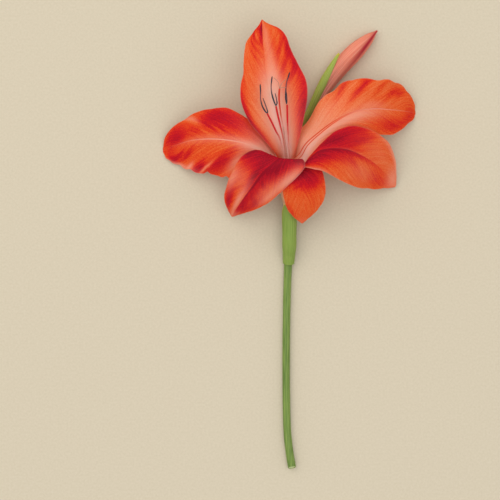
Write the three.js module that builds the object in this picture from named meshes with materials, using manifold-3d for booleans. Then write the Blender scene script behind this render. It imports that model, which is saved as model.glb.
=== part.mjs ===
// A cut gladiolus: one open bloom and one bud on a short stem, lying on its stem with the bloom facing up.
// Millimetres, +Z up. The stem runs along Y, with its cut end at -Y and the bud at +Y.
import * as THREE from "three";
import * as BufferGeometryUtils from "three/addons/utils/BufferGeometryUtils.js";
import Module from "manifold-3d";

const wasm = await Module();
wasm.setup();

// Driving dimensions
const TEPAL_THICKNESS = 0.7;
const BRACT_THICKNESS = 0.6;
const TEPAL_CELLS = { along: 18, across: 10 };
const THROAT_RADIUS = 9;
const THROAT_HEIGHT = 22;
const THROAT_TILT = 40;
const TUBE_WALL = 0.6;
const SEAT_GAP = 0.35;
const CLAW_GAP = 0.55;
const CLAW_HALF_ANGLE = 28;
// The flower is drawn about its throat, and then moved so that its box is centred on the origin
const BOX_CENTRE = { x: 2, y: -41.7 };

const COLOURS = {
  tepal: 0xdd4a24,
  tepalDeep: 0xc4241c,
  filament: 0xc83c30,
  anther: 0x3c4450,
  style: 0xd9604a,
  green: 0x6f8a34,
  bract: 0x84983c,
  bud: 0xd9735c,
  tube: 0xc9b074,
};

const DEG = Math.PI / 180;
const vec = (p) => new THREE.Vector3(p[0], p[1], p[2]);
const smoothCurve = (points) => new THREE.CatmullRomCurve3(points.map(vec), false, "catmullrom", 0.5);

// A closed solid from a list of vertices and triangles
function solid(vertices, triangles) {
  const geometry = new THREE.BufferGeometry();
  const numbers = vertices.flatMap((v) => v.toArray());
  geometry.setAttribute("position", new THREE.Float32BufferAttribute(numbers, 3));
  geometry.setIndex(triangles.flat());
  geometry.computeVertexNormals();
  return geometry;
}

// A solid carried through rings of points, each ring turning right-handed about the way the rings go
function loft(rings) {
  const sides = rings[0].length;
  const triangles = [];
  for (let i = 0; i + 1 < rings.length; i++) {
    for (let k = 0; k < sides; k++) {
      const here = i * sides;
      const next = here + sides;
      const k1 = (k + 1) % sides;
      triangles.push([here + k, here + k1, next + k1], [here + k, next + k1, next + k]);
    }
  }
  const last = (rings.length - 1) * sides;
  for (let k = 1; k + 1 < sides; k++) {
    triangles.push([0, k + 1, k], [last, last + k, last + k + 1]);
  }
  return solid(rings.flat(), triangles);
}

// The frame of a path at t: its tangent, the side nearest to straight up, and the side to its left
function frameAt(path, t) {
  const along = path.getTangent(t);
  const up = new THREE.Vector3(0, 0, 1);
  up.addScaledVector(along, -up.dot(along)).normalize();
  const left = new THREE.Vector3().crossVectors(up, along);
  return { centre: path.getPoint(t), along, up, left };
}

// A point at an angle round a path: 0 is up, 90 is to the left of the way it goes
function around(frame, angle, radius) {
  return frame.centre.clone()
    .addScaledVector(frame.up, radius * Math.cos(angle))
    .addScaledVector(frame.left, radius * Math.sin(angle));
}

function ring(frame, radius, sides) {
  return Array.from({ length: sides }, (_, k) => around(frame, -((k + 0.5) / sides) * 2 * Math.PI, radius));
}

// A value that follows a short list of values spaced evenly along a path
function along(values, t) {
  const curve = new THREE.SplineCurve(values.map((value, i) => new THREE.Vector2(i, value)));
  return curve.getPoint(t).y;
}

// A round solid along a path, with its radius given by a short list of values
function rod({ path: points, radii, steps, sides }) {
  const path = smoothCurve(points);
  return loft(Array.from({ length: steps + 1 }, (_, i) => {
    const t = i / steps;
    return ring(frameAt(path, t), along(radii, t), sides);
  }));
}

// A sheet given as a grid of points, thickened both ways along its normals
function blade(grid, thickness) {
  const rows = grid.length;
  const columns = grid[0].length;
  const normals = grid.map((row, i) => row.map((_, j) => normalAt(grid, i, j)));
  const face = (side) => grid.flatMap((row, i) => row.map((p, j) =>
    p.clone().addScaledVector(normals[i][j], side * thickness / 2)));
  const top = (i, j) => i * columns + j;
  const under = (i, j) => rows * columns + i * columns + j;
  const triangles = [];
  for (let i = 0; i + 1 < rows; i++) {
    for (let j = 0; j + 1 < columns; j++) {
      triangles.push([top(i, j), top(i + 1, j), top(i + 1, j + 1)]);
      triangles.push([top(i, j), top(i + 1, j + 1), top(i, j + 1)]);
      triangles.push([under(i, j), under(i + 1, j + 1), under(i + 1, j)]);
      triangles.push([under(i, j), under(i, j + 1), under(i + 1, j + 1)]);
    }
    const far = columns - 1;
    triangles.push([top(i, far), top(i + 1, far), under(i + 1, far)]);
    triangles.push([top(i, far), under(i + 1, far), under(i, far)]);
    triangles.push([top(i, 0), under(i + 1, 0), top(i + 1, 0)], [top(i, 0), under(i, 0), under(i + 1, 0)]);
  }
  const end = rows - 1;
  for (let j = 0; j + 1 < columns; j++) {
    triangles.push([top(end, j), under(end, j), under(end, j + 1)]);
    triangles.push([top(end, j), under(end, j + 1), top(end, j + 1)]);
    triangles.push([top(0, j), under(0, j + 1), under(0, j)], [top(0, j), top(0, j + 1), under(0, j + 1)]);
  }
  return solid([...face(1), ...face(-1)], triangles);
}

function normalAt(grid, i, j) {
  const rows = grid.length - 1;
  const columns = grid[0].length - 1;
  const lengthwise = grid[Math.min(i + 1, rows)][j].clone().sub(grid[Math.max(i - 1, 0)][j]);
  const crosswise = grid[i][Math.min(j + 1, columns)].clone().sub(grid[i][Math.max(j - 1, 0)]);
  return lengthwise.cross(crosswise).normalize();
}

// The perianth tube rises along the stem and bends up to the throat, which faces up and towards the bud.
// It is a deep cup, whose floor lies a little way up from its foot.
const throatAxis = new THREE.Vector3(0, Math.sin(THROAT_TILT * DEG), Math.cos(THROAT_TILT * DEG));
const throat = new THREE.Vector3(0, 0, THROAT_HEIGHT);
const tubePath = new THREE.CubicBezierCurve3(
  new THREE.Vector3(2, -38, 9.4),
  new THREE.Vector3(2, -20, 9.4),
  throat.clone().addScaledVector(throatAxis, -14),
  throat,
);
const TUBE_RADII = [2, 2.2, 3.2, 5.3, THROAT_RADIUS];
const TUBE_FLOOR_AT = 0.06;
const TUBE_CELLS = { along: 12, round: 18 };

// A point near the throat: an angle round it, from above and with 0 at +X, a radius and a height over the rim
function throatPoint(angle, radius, height) {
  const across = new THREE.Vector3(1, 0, 0);
  const upward = new THREE.Vector3().crossVectors(throatAxis, across);
  return throat.clone()
    .addScaledVector(across, radius * Math.cos(angle * DEG))
    .addScaledVector(upward, radius * Math.sin(angle * DEG))
    .addScaledVector(throatAxis, height);
}

// The tube's rings go up its outer wall, over the rim and down its inner wall to the floor
function makeTube() {
  const wall = (from, to, inset) => Array.from({ length: TUBE_CELLS.along + 1 }, (_, i) => {
    const t = from + (to - from) * (i / TUBE_CELLS.along);
    return ring(frameAt(tubePath, t), along(TUBE_RADII, t) - inset, TUBE_CELLS.round);
  });
  return loft([...wall(0, 1, 0), ...wall(1, TUBE_FLOOR_AT, TUBE_WALL)]);
}

// Each tepal: the direction of its claw at the throat, its margins and midrib at stations from claw to tip,
// each [margin, midrib, margin] in mm, how sharply it folds (2 is a soft bow) and the ruffle of each margin
const TEPALS = {
  top: {
    claw: 90,
    stations: [
      [[-6.9, 10.3, 22.4], [0, 10.4, 18.6], [5.6, 10.4, 21]],
      [[-13.7, 17.9, 27.5], [-2.5, 19, 23], [7.3, 17.9, 25.5]],
      [[-21, 27.2, 31], [-5.9, 29.1, 27], [9.5, 27.4, 29.5]],
      [[-24.6, 38.6, 32], [-8.7, 40.3, 29.5], [11.8, 39.2, 31]],
      [[-25.2, 49.3, 31.5], [-10.4, 50.4, 30], [11.2, 49.3, 30]],
      [[-23.8, 59.9, 30], [-11.8, 61, 29.5], [6.7, 59.1, 28.5]],
      [[-22.7, 70, 27.5], [-12.9, 70.6, 28], [2.2, 68.9, 26.5]],
      [[-18.2, 77.6, 25.3], [-13.3, 77.8, 25.6], [-1.1, 77.8, 24.5]],
      [[-15, 80.9, 23.9], [-13.4, 81.8, 24], [-9, 81.2, 23.7]],
      [[-13.8, 83.6, 23.2], [-13.4, 84, 23.2], [-12.9, 83.7, 23.2]],
    ],
    fold: 1.8,
    ruffles: [{ height: 0.8, waves: 2.5, start: 0.2 }, { height: 0.8, waves: 2.5, start: 0.6 }],
  },
  upper_left: {
    claw: 150,
    stations: [
      [[-11.1, 3.5, 24.3], [-9.6, 7, 20.9], [-6.6, 9.4, 17.7]],
      [[-16.8, 5.6, 27], [-15.1, 11.8, 25.2], [-10, 19, 21.5]],
      [[-24.1, 0.6, 23.5], [-22.4, 14.6, 27], [-21.6, 28.8, 26.5]],
      [[-31.9, -4.5, 17], [-31.4, 16.5, 25], [-31.9, 34.4, 26.5]],
      [[-42, -2.8, 12.5], [-42, 17.4, 20.5], [-42, 34, 22.5]],
      [[-52.6, -0.3, 7.5], [-52.6, 16.8, 14], [-53.2, 31.4, 16]],
      [[-61, 2.5, 3.5], [-61, 14.6, 7.5], [-62.7, 25.2, 9]],
      [[-66.6, 6.2, 1.6], [-66.1, 12.6, 3], [-67.8, 19, 3.8]],
      [[-69, 9.8, 0.4], [-69.2, 11.2, 0.4], [-69.3, 12.6, 0.5]],
    ],
    fold: 1.8,
    ruffles: [{ height: 1.2, waves: 4, start: 0.1 }, { height: 0.7, waves: 2.5, start: 0.5 }],
  },
  upper_right: {
    claw: 30,
    stations: [
      [[5.9, 9.7, 17.7], [9.4, 7, 21.1], [11.2, 3.3, 24.3]],
      [[5.4, 17.9, 20.8], [12, 13.9, 24.8], [16.8, 10.1, 28]],
      [[11.8, 27.4, 24], [19, 20.7, 27.5], [24.6, 16.5, 29.5]],
      [[19, 38.4, 27], [28, 27.4, 29], [33, 19.6, 28]],
      [[31.4, 48.7, 26.5], [38.4, 32.5, 27], [42.6, 20.2, 24]],
      [[45.4, 51.5, 23], [49.3, 34.2, 21.5], [52.6, 19.9, 17.5]],
      [[58.8, 50.7, 16.5], [59.4, 33.9, 14.5], [61.6, 20.4, 11]],
      [[68.3, 45.6, 9.5], [67.2, 33.3, 8], [68.3, 25.2, 6]],
      [[72, 38.6, 4.2], [71.1, 32.8, 3], [71.7, 28.6, 2.2]],
      [[73, 33.9, 0.6], [73.1, 32.5, 0.4], [72.8, 31.1, 0.4]],
    ],
    fold: 1.8,
    ruffles: [{ height: 1.3, waves: 4, start: 0 }, { height: 0.8, waves: 2.5, start: 0.3 }],
  },
  lower_left: {
    claw: 210,
    stations: [
      [[-5.4, -4, 30.6], [-8.8, -1.3, 28.3], [-10.2, 2.3, 25.3]],
      [[0, 0, 36.5], [-6.7, 2.8, 34.5], [-11.2, 6.7, 30.5]],
      [[8.4, 5.4, 39.3], [-3.9, 6.2, 38.3], [-12.3, 10.1, 34]],
      [[10.4, 1.8, 39.4], [-8.1, 2.8, 40], [-17.9, 10.9, 35]],
      [[6.7, -3.9, 37.2], [-13.7, -2.2, 38], [-24.1, 7.6, 33]],
      [[-1.7, -11.5, 32], [-19, -9.5, 31.5], [-29.4, 0.6, 28]],
      [[-9.8, -18.5, 25], [-23.5, -15.4, 24.5], [-33, -7.8, 21.5]],
      [[-18.5, -22.4, 17.5], [-27.2, -20.7, 17], [-34.7, -15.7, 15]],
      [[-24.6, -24.4, 12], [-29.4, -24.1, 11], [-33.3, -20.7, 10.5]],
      [[-29.1, -25.9, 7.5], [-30.4, -25.8, 7], [-31.1, -24.6, 7.3]],
    ],
    fold: 1.4,
    ruffles: [{ height: 0.5, waves: 2, start: 0.2 }, { height: 0.5, waves: 2, start: 0.7 }],
  },
  lower_middle: {
    claw: 270,
    stations: [
      [[4.7, -6, 30.6], [0, -6.2, 31.8], [-4.5, -5.5, 31.4]],
      [[13, 1.2, 30.4], [5.2, -3.2, 32.6], [-2.8, -4.9, 33]],
      [[19.6, 0.1, 30.8], [7.8, -6.4, 32.4], [-2.2, -8.4, 31.6]],
      [[21.8, -7.3, 28.5], [9.5, -12.3, 30], [-1.9, -12.9, 29]],
      [[21.6, -14.6, 24.5], [10.1, -17.9, 26], [-1.1, -17.9, 25]],
      [[17.9, -21.8, 20.5], [9.8, -23.2, 21.5], [1.1, -22.4, 21]],
      [[13.4, -26.6, 17], [9.2, -27.2, 17.5], [4.5, -26.3, 17.5]],
      [[9.8, -29.4, 14.8], [9, -29.7, 14.8], [8.1, -29.3, 15]],
    ],
    fold: 1.8,
    ruffles: [{ height: 0.5, waves: 2, start: 0.4 }, { height: 0.4, waves: 2, start: 0 }],
  },
  lower_right: {
    claw: 330,
    stations: [
      [[10.2, 2.3, 25.3], [8.5, -0.8, 28.8], [4.9, -2.8, 31.6]],
      [[12, 5.9, 30], [10.2, 3, 34.4], [7.2, 0.9, 36.4]],
      [[15.2, 9.4, 34], [13.4, 6.5, 37.6], [10.4, 1.1, 36.6]],
      [[20.2, 14.3, 35.5], [18.5, 10.4, 40], [15.4, 0, 37.5]],
      [[27.2, 21, 35], [25.5, 11.6, 39], [21.3, -1.3, 36]],
      [[37, 24.5, 32], [34.2, 10.9, 35], [29.7, -5.6, 31]],
      [[47.6, 22.2, 26.5], [42.3, 7.8, 28.5], [38.1, -9.2, 24]],
      [[56.6, 16.8, 19.5], [49.6, 3.6, 20.5], [45.9, -10.9, 16]],
      [[61, 7.3, 11.5], [55.7, -1.7, 12.5], [53.5, -10.6, 9]],
      [[62.2, -1.1, 6], [59.4, -5.6, 6.5], [58.2, -10, 5]],
      [[62.3, -7.8, 2.8], [61.8, -9, 2.8], [61, -9.4, 2.8]],
    ],
    fold: 1.4,
    ruffles: [{ height: 0.6, waves: 2, start: 0 }, { height: 0.6, waves: 2, start: 0.5 }],
  },
};

// The sheet of a tepal: at each place along it, a bow through margin, midrib and margin, and then waves that
// grow with the cube of the distance from the midrib
function tepalGrid(tepal) {
  const claw = [1, 0, -1].map((side) =>
    throatPoint(tepal.claw + side * CLAW_HALF_ANGLE, THROAT_RADIUS - TUBE_WALL / 2, CLAW_GAP).toArray());
  const stations = [claw, ...tepal.stations];
  const [marginA, midrib, marginB] = [0, 1, 2].map((k) => smoothCurve(stations.map((s) => s[k])));
  const { along: rows, across: columns } = TEPAL_CELLS;
  const places = Array.from({ length: rows + 1 }, (_, i) => midrib.getUtoTmapping(i / rows));
  const sheet = places.map((t) => {
    const a = marginA.getPoint(t);
    const m = midrib.getPoint(t);
    const b = marginB.getPoint(t);
    const bow = a.clone().add(b).multiplyScalar(0.5).sub(m);
    return Array.from({ length: columns + 1 }, (_, j) => {
      const v = (2 * j) / columns - 1;
      return m.clone()
        .addScaledVector(b.clone().sub(a), v / 2)
        .addScaledVector(bow, Math.abs(v) ** tepal.fold);
    });
  });
  return sheet.map((row, i) => row.map((p, j) => {
    const v = (2 * j) / columns - 1;
    const ruffle = tepal.ruffles[v < 0 ? 0 : 1];
    const swell = Math.sin(Math.PI * places[i]) ** 0.7 * Math.abs(v) ** 3;
    const wave = Math.sin(2 * Math.PI * (ruffle.waves * places[i] + ruffle.start));
    return p.clone().addScaledVector(normalAt(sheet, i, j), ruffle.height * swell * wave);
  }));
}

// Bracts wrap round a path, and close to a point at their tip: along the path go the wrap's radius, half the
// angle that it spans and the way that its middle faces
function bractBlade({ path: points, radii, halfAngles, facings, cells }) {
  const path = smoothCurve(points);
  const grid = Array.from({ length: cells.along + 1 }, (_, i) => {
    const t = i / cells.along;
    const frame = frameAt(path, t);
    return Array.from({ length: cells.across + 1 }, (_, j) => {
      const v = 1 - (2 * j) / cells.across;
      const angle = (along(facings, t) + v * along(halfAngles, t)) * DEG;
      return around(frame, angle, along(radii, t));
    });
  });
  return blade(grid, BRACT_THICKNESS);
}

const OUTER_BRACT = {
  path: [
    [1.6, -52, 2.4], [1.8, -47, 4.6], [2, -42, 7.8], [2, -36, 9.2],
    [2, -30, 9.5], [1.9, -24, 10], [1.6, -18.5, 11.4], [1.3, -14, 13.4],
  ],
  radii: [3.2, 3.5, 3.9, 3.9, 4.1, 4.5, 5.1, 5.8],
  halfAngles: [80, 92, 96, 92, 84, 66, 36, 5],
  facings: [0, 0],
  cells: { along: 16, across: 10 },
};
const INNER_BRACT = {
  path: [
    [1.9, -45.4, 7.2], [2, -41.8, 8.7], [2, -36, 9.4], [2, -30, 9.5], [1.9, -25, 9.9], [1.7, -20.5, 10.9],
  ],
  radii: [1.85, 2.75, 2.8, 3, 3.5, 4.1],
  halfAngles: [45, 60, 66, 60, 40, 5],
  facings: [180, 180],
  cells: { along: 11, across: 6 },
};

// The bud leans out to the right of the bloom, and its bracts start on the same line
const BUD_FOOT_LINE = [
  [7.6, 18.4, 5], [10.1, 24.1, 6], [14.6, 31.9, 6.4], [19, 40.3, 6.4], [24.6, 49.3, 5.8],
];
const BUD_OUTER_BRACT = {
  path: [[5.2, 12.6, 1.8], ...BUD_FOOT_LINE, [31.9, 58.8, 5.2], [34.6, 61.8, 5]],
  radii: [2.35, 2.5, 2.9, 3.3, 3.9, 4.9, 5.9, 6.7],
  halfAngles: [75, 85, 82, 72, 62, 48, 24, 4],
  facings: [15, 40, 58, 62, 66, 72, 80, 86],
  cells: { along: 18, across: 8 },
};
const BUD_INNER_BRACT = {
  path: BUD_FOOT_LINE,
  radii: [2.4, 2.8, 3.15, 3.6, 4.35],
  halfAngles: [50, 58, 54, 38, 5],
  facings: [-150, -125],
  cells: { along: 9, across: 6 },
};

// The bud is a furled spindle: its section is a round with three soft lobes, which turns as it rises
const BUD = {
  path: [...BUD_FOOT_LINE, [31.9, 58.8, 5], [39.8, 67.2, 4.9], [46.5, 73.4, 4], [51.5, 78.1, 2.4]],
  radii: [1.6, 2, 2.3, 2.7, 3.4, 4.5, 4.8, 3.2, 0.5],
  lobes: 3,
  lobeDepth: 0.06,
  turns: 1.1,
  cells: { along: 22, round: 15 },
};

function makeBud() {
  const { along: steps, round: sides } = BUD.cells;
  const path = smoothCurve(BUD.path);
  return loft(Array.from({ length: steps + 1 }, (_, i) => {
    const t = i / steps;
    const frame = frameAt(path, t);
    const radius = along(BUD.radii, t);
    return Array.from({ length: sides }, (_, k) => {
      const angle = -((k + 0.5) / sides) * 2 * Math.PI;
      const lobe = Math.cos(BUD.lobes * angle + BUD.turns * 2 * Math.PI * t);
      return around(frame, angle, radius * (1 + BUD.lobeDepth * lobe));
    });
  }));
}

// The stem lies on a narrow flat along its underside, so its axis runs a little under one radius above it
const STEM_LINE = [
  [3.5, -167.2], [2, -157.9], [0.8, -145.6], [0.3, -123.2], [0.3, -95.2], [0.8, -67.2],
  [1.6, -44.8], [1.7, -25.2], [1.7, -8.4], [3, 4], [5.6, 13.6],
];
const STEM_RADII = [2.3, 2.25, 2.2, 2.15, 2.15, 2.2, 2.35, 1.9, 1.8, 1.7, 1.65];
const STEM_CELLS = { along: 34, round: 12 };
const CUT_SLOPE = 0.45;

function makeStem() {
  const line = smoothCurve(STEM_LINE.map(([x, y]) => [x, y, 0]));
  const flat = Math.cos(Math.PI / STEM_CELLS.round);
  return loft(Array.from({ length: STEM_CELLS.along + 1 }, (_, i) => {
    const t = i / STEM_CELLS.along;
    const radius = along(STEM_RADII, t);
    const frame = frameAt(line, t);
    frame.centre.z = radius * flat;
    const points = ring(frame, radius, STEM_CELLS.round);
    if (i === 0) {
      points.forEach((p) => { p.y += CUT_SLOPE * (p.z - radius); });
    }
    return points;
  }));
}

// The ovaries join the stem to the foot of the tube and to the foot of the bud
const OVARY = {
  path: [[1.8, -47.6, 5.7], [1.9, -45.3, 7.3], [2, -41.8, 8.7], [2, -38.75, 9.4]],
  radii: [0.9, 1.25, 2, 1.9],
  steps: 7,
  sides: 12,
};
const BUD_OVARY = {
  path: [[5.9, 14.5, 2.1], [6.3, 15.5, 2.9], [6.9, 16.8, 3.9], [7.25, 17.6, 4.5]],
  radii: [1, 1.3, 1.4, 1.3],
  steps: 4,
  sides: 10,
};

// The filaments stand side by side on the wall of the tube that is behind the top tepal; the style rises from
// the tube's floor and ends in three stigma branches
const FILAMENT = { radii: [0.55, 0.5, 0.5, 0.45, 0.42], steps: 16, sides: 7 };
const FOOT_AT = 0.8;
const FOOT_SPREAD = 40;
const BACK_WALL = 180;
const ANTHER_LOBES = [
  { radii: [0.5, 0.7, 0.7, 0.6, 0.25], steps: 9, sides: 7 },
  { radii: [0.45, 0.6, 0.3], steps: 5, sides: 7 },
];
const STAMENS = {
  left: {
    footAngle: BACK_WALL - FOOT_SPREAD,
    filament: [
      [-1.2, 5.6, 21.5], [-3.4, 16.8, 27], [-5.6, 21.3, 29.5], [-7.8, 26.3, 31.5], [-11, 32.2, 33.6],
    ],
    lobes: [
      [[-11.2, 32.5, 33.9], [-13.4, 36.4, 34.6], [-14.4, 39.8, 35], [-14.2, 44.2, 35.2], [-14.4, 48.2, 35.2]],
      [[-11.2, 32.5, 33.9], [-12.4, 36.2, 35.2], [-13, 40.3, 36]],
    ],
  },
  middle: {
    footAngle: BACK_WALL,
    filament: [[0.1, 5.6, 19.4], [-1.5, 16.8, 25.6], [-3.4, 25.2, 29], [-5, 31.9, 31], [-5.9, 36.2, 32.3]],
    lobes: [
      [[-6, 36.6, 32.6], [-7.3, 39.8, 33.4], [-8.4, 44, 34], [-8.2, 48.2, 34.2], [-7.6, 52.6, 34.2]],
      [[-6, 36.6, 32.6], [-6, 39.8, 34], [-6.2, 43.1, 34.6]],
    ],
  },
  right: {
    footAngle: BACK_WALL + FOOT_SPREAD,
    filament: [[2, 5.6, 21], [1.3, 16.8, 27], [0.8, 25.2, 30], [0.6, 31.9, 32], [0.5, 36.6, 33.1]],
    lobes: [
      [[0.5, 37, 33.4], [-0.2, 40.3, 33.8], [0, 44.2, 34], [0.2, 48.2, 34], [1.1, 51.5, 34], [1.8, 54.3, 34]],
      [[0.5, 37, 33.4], [0.8, 40.3, 34.8], [0.7, 43.6, 35.2]],
    ],
  },
};
const STYLE_FOOT_AT = 0.067;
const STYLE = {
  path: [
    tubePath.getPoint(STYLE_FOOT_AT).toArray(), [1, -18, 10.8], [0.3, -5.6, 17], [0.4, 5.6, 23],
    [-0.7, 16.8, 27.7], [-2, 25.2, 30.9], [-3.2, 32, 32.8], [-3.7, 40.3, 34.5], [-3.6, 45.4, 35],
  ],
  radii: [0.55, 0.5, 0.5, 0.5, 0.45],
  steps: 22,
  sides: 7,
};
const STIGMA = { radii: [0.36, 0.3, 0.3], steps: 4, sides: 6 };
const STIGMA_PATHS = [
  [[-3.6, 45.1, 35], [-2.4, 48.7, 35.7], [0, 51, 36.4]],
  [[-3.6, 44.9, 35], [-2.6, 46.4, 36], [-0.2, 46.6, 36.9]],
  [[-3.6, 45.1, 35], [-4.4, 48.5, 35.3], [-6.9, 51.7, 36.2]],
];

// Several rods that run into each other, joined into one solid
function joined(geometries) {
  const parts = geometries.map((geometry) => {
    const plain = geometry.clone();
    plain.deleteAttribute("normal");
    const merged = BufferGeometryUtils.mergeVertices(plain);
    return new wasm.Manifold(new wasm.Mesh({
      numProp: 3,
      vertProperties: new Float32Array(merged.attributes.position.array),
      triVerts: new Uint32Array(merged.index.array),
    }));
  });
  const whole = parts.reduce((sum, part) => sum.add(part)).getMesh();
  const geometry = new THREE.BufferGeometry();
  geometry.setAttribute("position", new THREE.Float32BufferAttribute(whole.vertProperties, 3));
  geometry.setIndex(Array.from(whole.triVerts));
  geometry.computeVertexNormals();
  return geometry;
}

// A filament's foot lies just off the inside of the tube's wall
function makeFilament({ footAngle, filament }) {
  const inside = along(TUBE_RADII, FOOT_AT) - TUBE_WALL;
  const foot = around(frameAt(tubePath, FOOT_AT), footAngle * DEG, inside - SEAT_GAP - FILAMENT.radii[0]);
  return rod({ path: [foot.toArray(), ...filament], ...FILAMENT });
}

function makeAnther({ lobes }) {
  return joined(lobes.map((path, i) => rod({ path, ...ANTHER_LOBES[i] })));
}

function makeStyle() {
  return joined([rod(STYLE), ...STIGMA_PATHS.map((path) => rod({ path, ...STIGMA }))]);
}

const flower = new THREE.Group();

function add(name, geometry, colour) {
  const finish = new THREE.MeshStandardMaterial({ color: colour, roughness: 0.6, metalness: 0 });
  const mesh = new THREE.Mesh(geometry, finish);
  mesh.name = name;
  flower.add(mesh);
}

add("stem", makeStem(), COLOURS.green);
add("ovary", rod(OVARY), COLOURS.green);
add("perianth_tube", makeTube(), COLOURS.tube);
for (const [name, tepal] of Object.entries(TEPALS)) {
  const colour = name.startsWith("lower") ? COLOURS.tepalDeep : COLOURS.tepal;
  add(`tepal_${name}`, blade(tepalGrid(tepal), TEPAL_THICKNESS), colour);
}
for (const [name, stamen] of Object.entries(STAMENS)) {
  add(`filament_${name}`, makeFilament(stamen), COLOURS.filament);
  add(`anther_${name}`, makeAnther(stamen), COLOURS.anther);
}
add("style", makeStyle(), COLOURS.style);
add("bloom_outer_bract", bractBlade(OUTER_BRACT), COLOURS.bract);
add("bloom_inner_bract", bractBlade(INNER_BRACT), COLOURS.bract);
add("bud", makeBud(), COLOURS.bud);
add("bud_ovary", rod(BUD_OVARY), COLOURS.green);
add("bud_outer_bract", bractBlade(BUD_OUTER_BRACT), COLOURS.bract);
add("bud_inner_bract", bractBlade(BUD_INNER_BRACT), COLOURS.bract);

flower.position.set(-BOX_CENTRE.x, -BOX_CENTRE.y, 0);
export default flower;
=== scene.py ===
# %% [markdown]
# # A cut gladiolus
# This lesson dresses a gladiolus: an open bloom of six tepals with its stamens and style, a furled bud,
# green bracts and a cut stem, lying on a pale board with the bloom facing up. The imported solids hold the
# sizes and the places, but each is plain. So a finer surface takes its place, worked out with numpy from
# the same few points in millimetres, which are counted from the board under the throat of the bloom.

import math
from functools import partial
from types import SimpleNamespace

import bpy
import numpy as np
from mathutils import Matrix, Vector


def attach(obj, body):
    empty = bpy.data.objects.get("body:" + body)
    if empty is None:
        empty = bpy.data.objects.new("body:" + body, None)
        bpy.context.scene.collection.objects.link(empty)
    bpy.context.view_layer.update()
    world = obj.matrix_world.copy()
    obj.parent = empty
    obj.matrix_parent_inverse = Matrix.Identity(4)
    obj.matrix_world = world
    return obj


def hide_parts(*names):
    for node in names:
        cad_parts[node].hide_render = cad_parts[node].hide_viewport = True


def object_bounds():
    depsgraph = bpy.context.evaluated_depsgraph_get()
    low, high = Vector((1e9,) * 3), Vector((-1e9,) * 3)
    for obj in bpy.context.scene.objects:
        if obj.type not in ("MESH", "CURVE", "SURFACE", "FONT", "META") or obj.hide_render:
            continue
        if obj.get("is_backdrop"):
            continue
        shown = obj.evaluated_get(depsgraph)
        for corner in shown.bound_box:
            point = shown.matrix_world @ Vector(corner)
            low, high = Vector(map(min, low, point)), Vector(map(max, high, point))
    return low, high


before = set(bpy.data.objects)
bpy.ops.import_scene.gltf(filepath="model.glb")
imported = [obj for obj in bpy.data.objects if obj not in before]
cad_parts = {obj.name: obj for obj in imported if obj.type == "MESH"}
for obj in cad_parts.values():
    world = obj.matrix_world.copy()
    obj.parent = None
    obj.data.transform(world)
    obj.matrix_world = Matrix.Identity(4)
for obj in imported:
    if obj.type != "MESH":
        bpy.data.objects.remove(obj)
cad_low, cad_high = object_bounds()
MM = 0.001
size = (cad_high - cad_low) / MM
print(f"{len(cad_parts)} solids, {size.x:.0f} x {size.y:.0f} mm")

# %% [markdown]
# ## The camera
# The flower is seen from straight above. A short lens near by would spread the upper tepals, so a long lens
# looks from far away and keeps the outline nearly flat. The view is 280 mm wide, and the throat of the
# bloom lies right of its middle and above it.

# %% Set the camera
VIEW_WIDTH = 0.280
VIEW_CENTRE = (-0.02216, -0.0031)
VIEW_PLANE = 0.020
LENS_MM = 300
SENSOR_MM = 36


def new_object(name, data):
    """An object that shows the data, in the scene."""
    made = bpy.data.objects.new(name, data)
    bpy.context.scene.collection.objects.link(made)
    return made


camera = new_object("camera", bpy.data.cameras.new("camera"))
camera.data.lens = LENS_MM
camera.data.sensor_width = SENSOR_MM
camera.data.clip_start = 0.1
camera.data.clip_end = 20
camera.location = (*VIEW_CENTRE, VIEW_PLANE + VIEW_WIDTH * LENS_MM / SENSOR_MM)
bpy.context.scene.camera = camera
bpy.context.scene.view_settings.view_transform = "Standard"
print(f"the camera is {camera.location.z:.2f} m above the board")

# %% [markdown]
# ## Materials
# Each finish is a small tree of nodes. A painted image could carry the same colours, but nodes take their
# sizes in millimetres, need no unwrapping and stay sharp from near by. One function adds any node. The
# others start a material, end it, lay tints over a colour, make a number uneven, or draw the grain and the
# streaks that plant tissue shows.


# %% Colours and nodes
def linear(hex_colour):
    """An sRGB hex colour as the linear numbers that a shader works with."""
    s = np.array([int(hex_colour[i:i + 2], 16) for i in (1, 3, 5)]) / 255
    return (*np.where(s <= 0.04045, s / 12.92, ((s + 0.055) / 1.055) ** 2.4).tolist(), 1.0)


def add_node(tree, kind, sockets=None, output=0, stops=(), **settings):
    """Adds a node and returns one of its outputs. Its sockets are named or numbered, and each takes a
    plain value or another node's output. A colour ramp's stops are pairs of a place and a hex colour. The
    settings are the node's own properties."""
    made = tree.nodes.new("ShaderNode" + kind)
    if stops:
        elements = made.color_ramp.elements
        elements.remove(elements[0])
        elements[0].position, elements[0].color = stops[0][0], linear(stops[0][1])
        for place, colour in stops[1:]:
            elements.new(place).color = linear(colour)
    for key, value in settings.items():
        setattr(made, key, value)
    for key, value in (sockets or {}).items():
        if isinstance(value, bpy.types.NodeSocket):
            tree.links.new(value, made.inputs[key])
        else:
            made.inputs[key].default_value = value
    return made.outputs[output] if made.outputs else None


print("a paint-card colour #808080 is", round(linear("#808080")[0], 3), "in linear light")


# %% What the materials share
def start_material(name, *attributes):
    """Starts an empty material. Returns it, the function that adds its nodes, and the numbers that its
    piece holds for each vertex, by name."""
    material = bpy.data.materials.new(name)
    material.use_nodes = True
    material.node_tree.nodes.clear()
    add = partial(add_node, material.node_tree)
    return material, add, {key: add("Attribute", output="Fac", attribute_name=key) for key in attributes}


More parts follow.
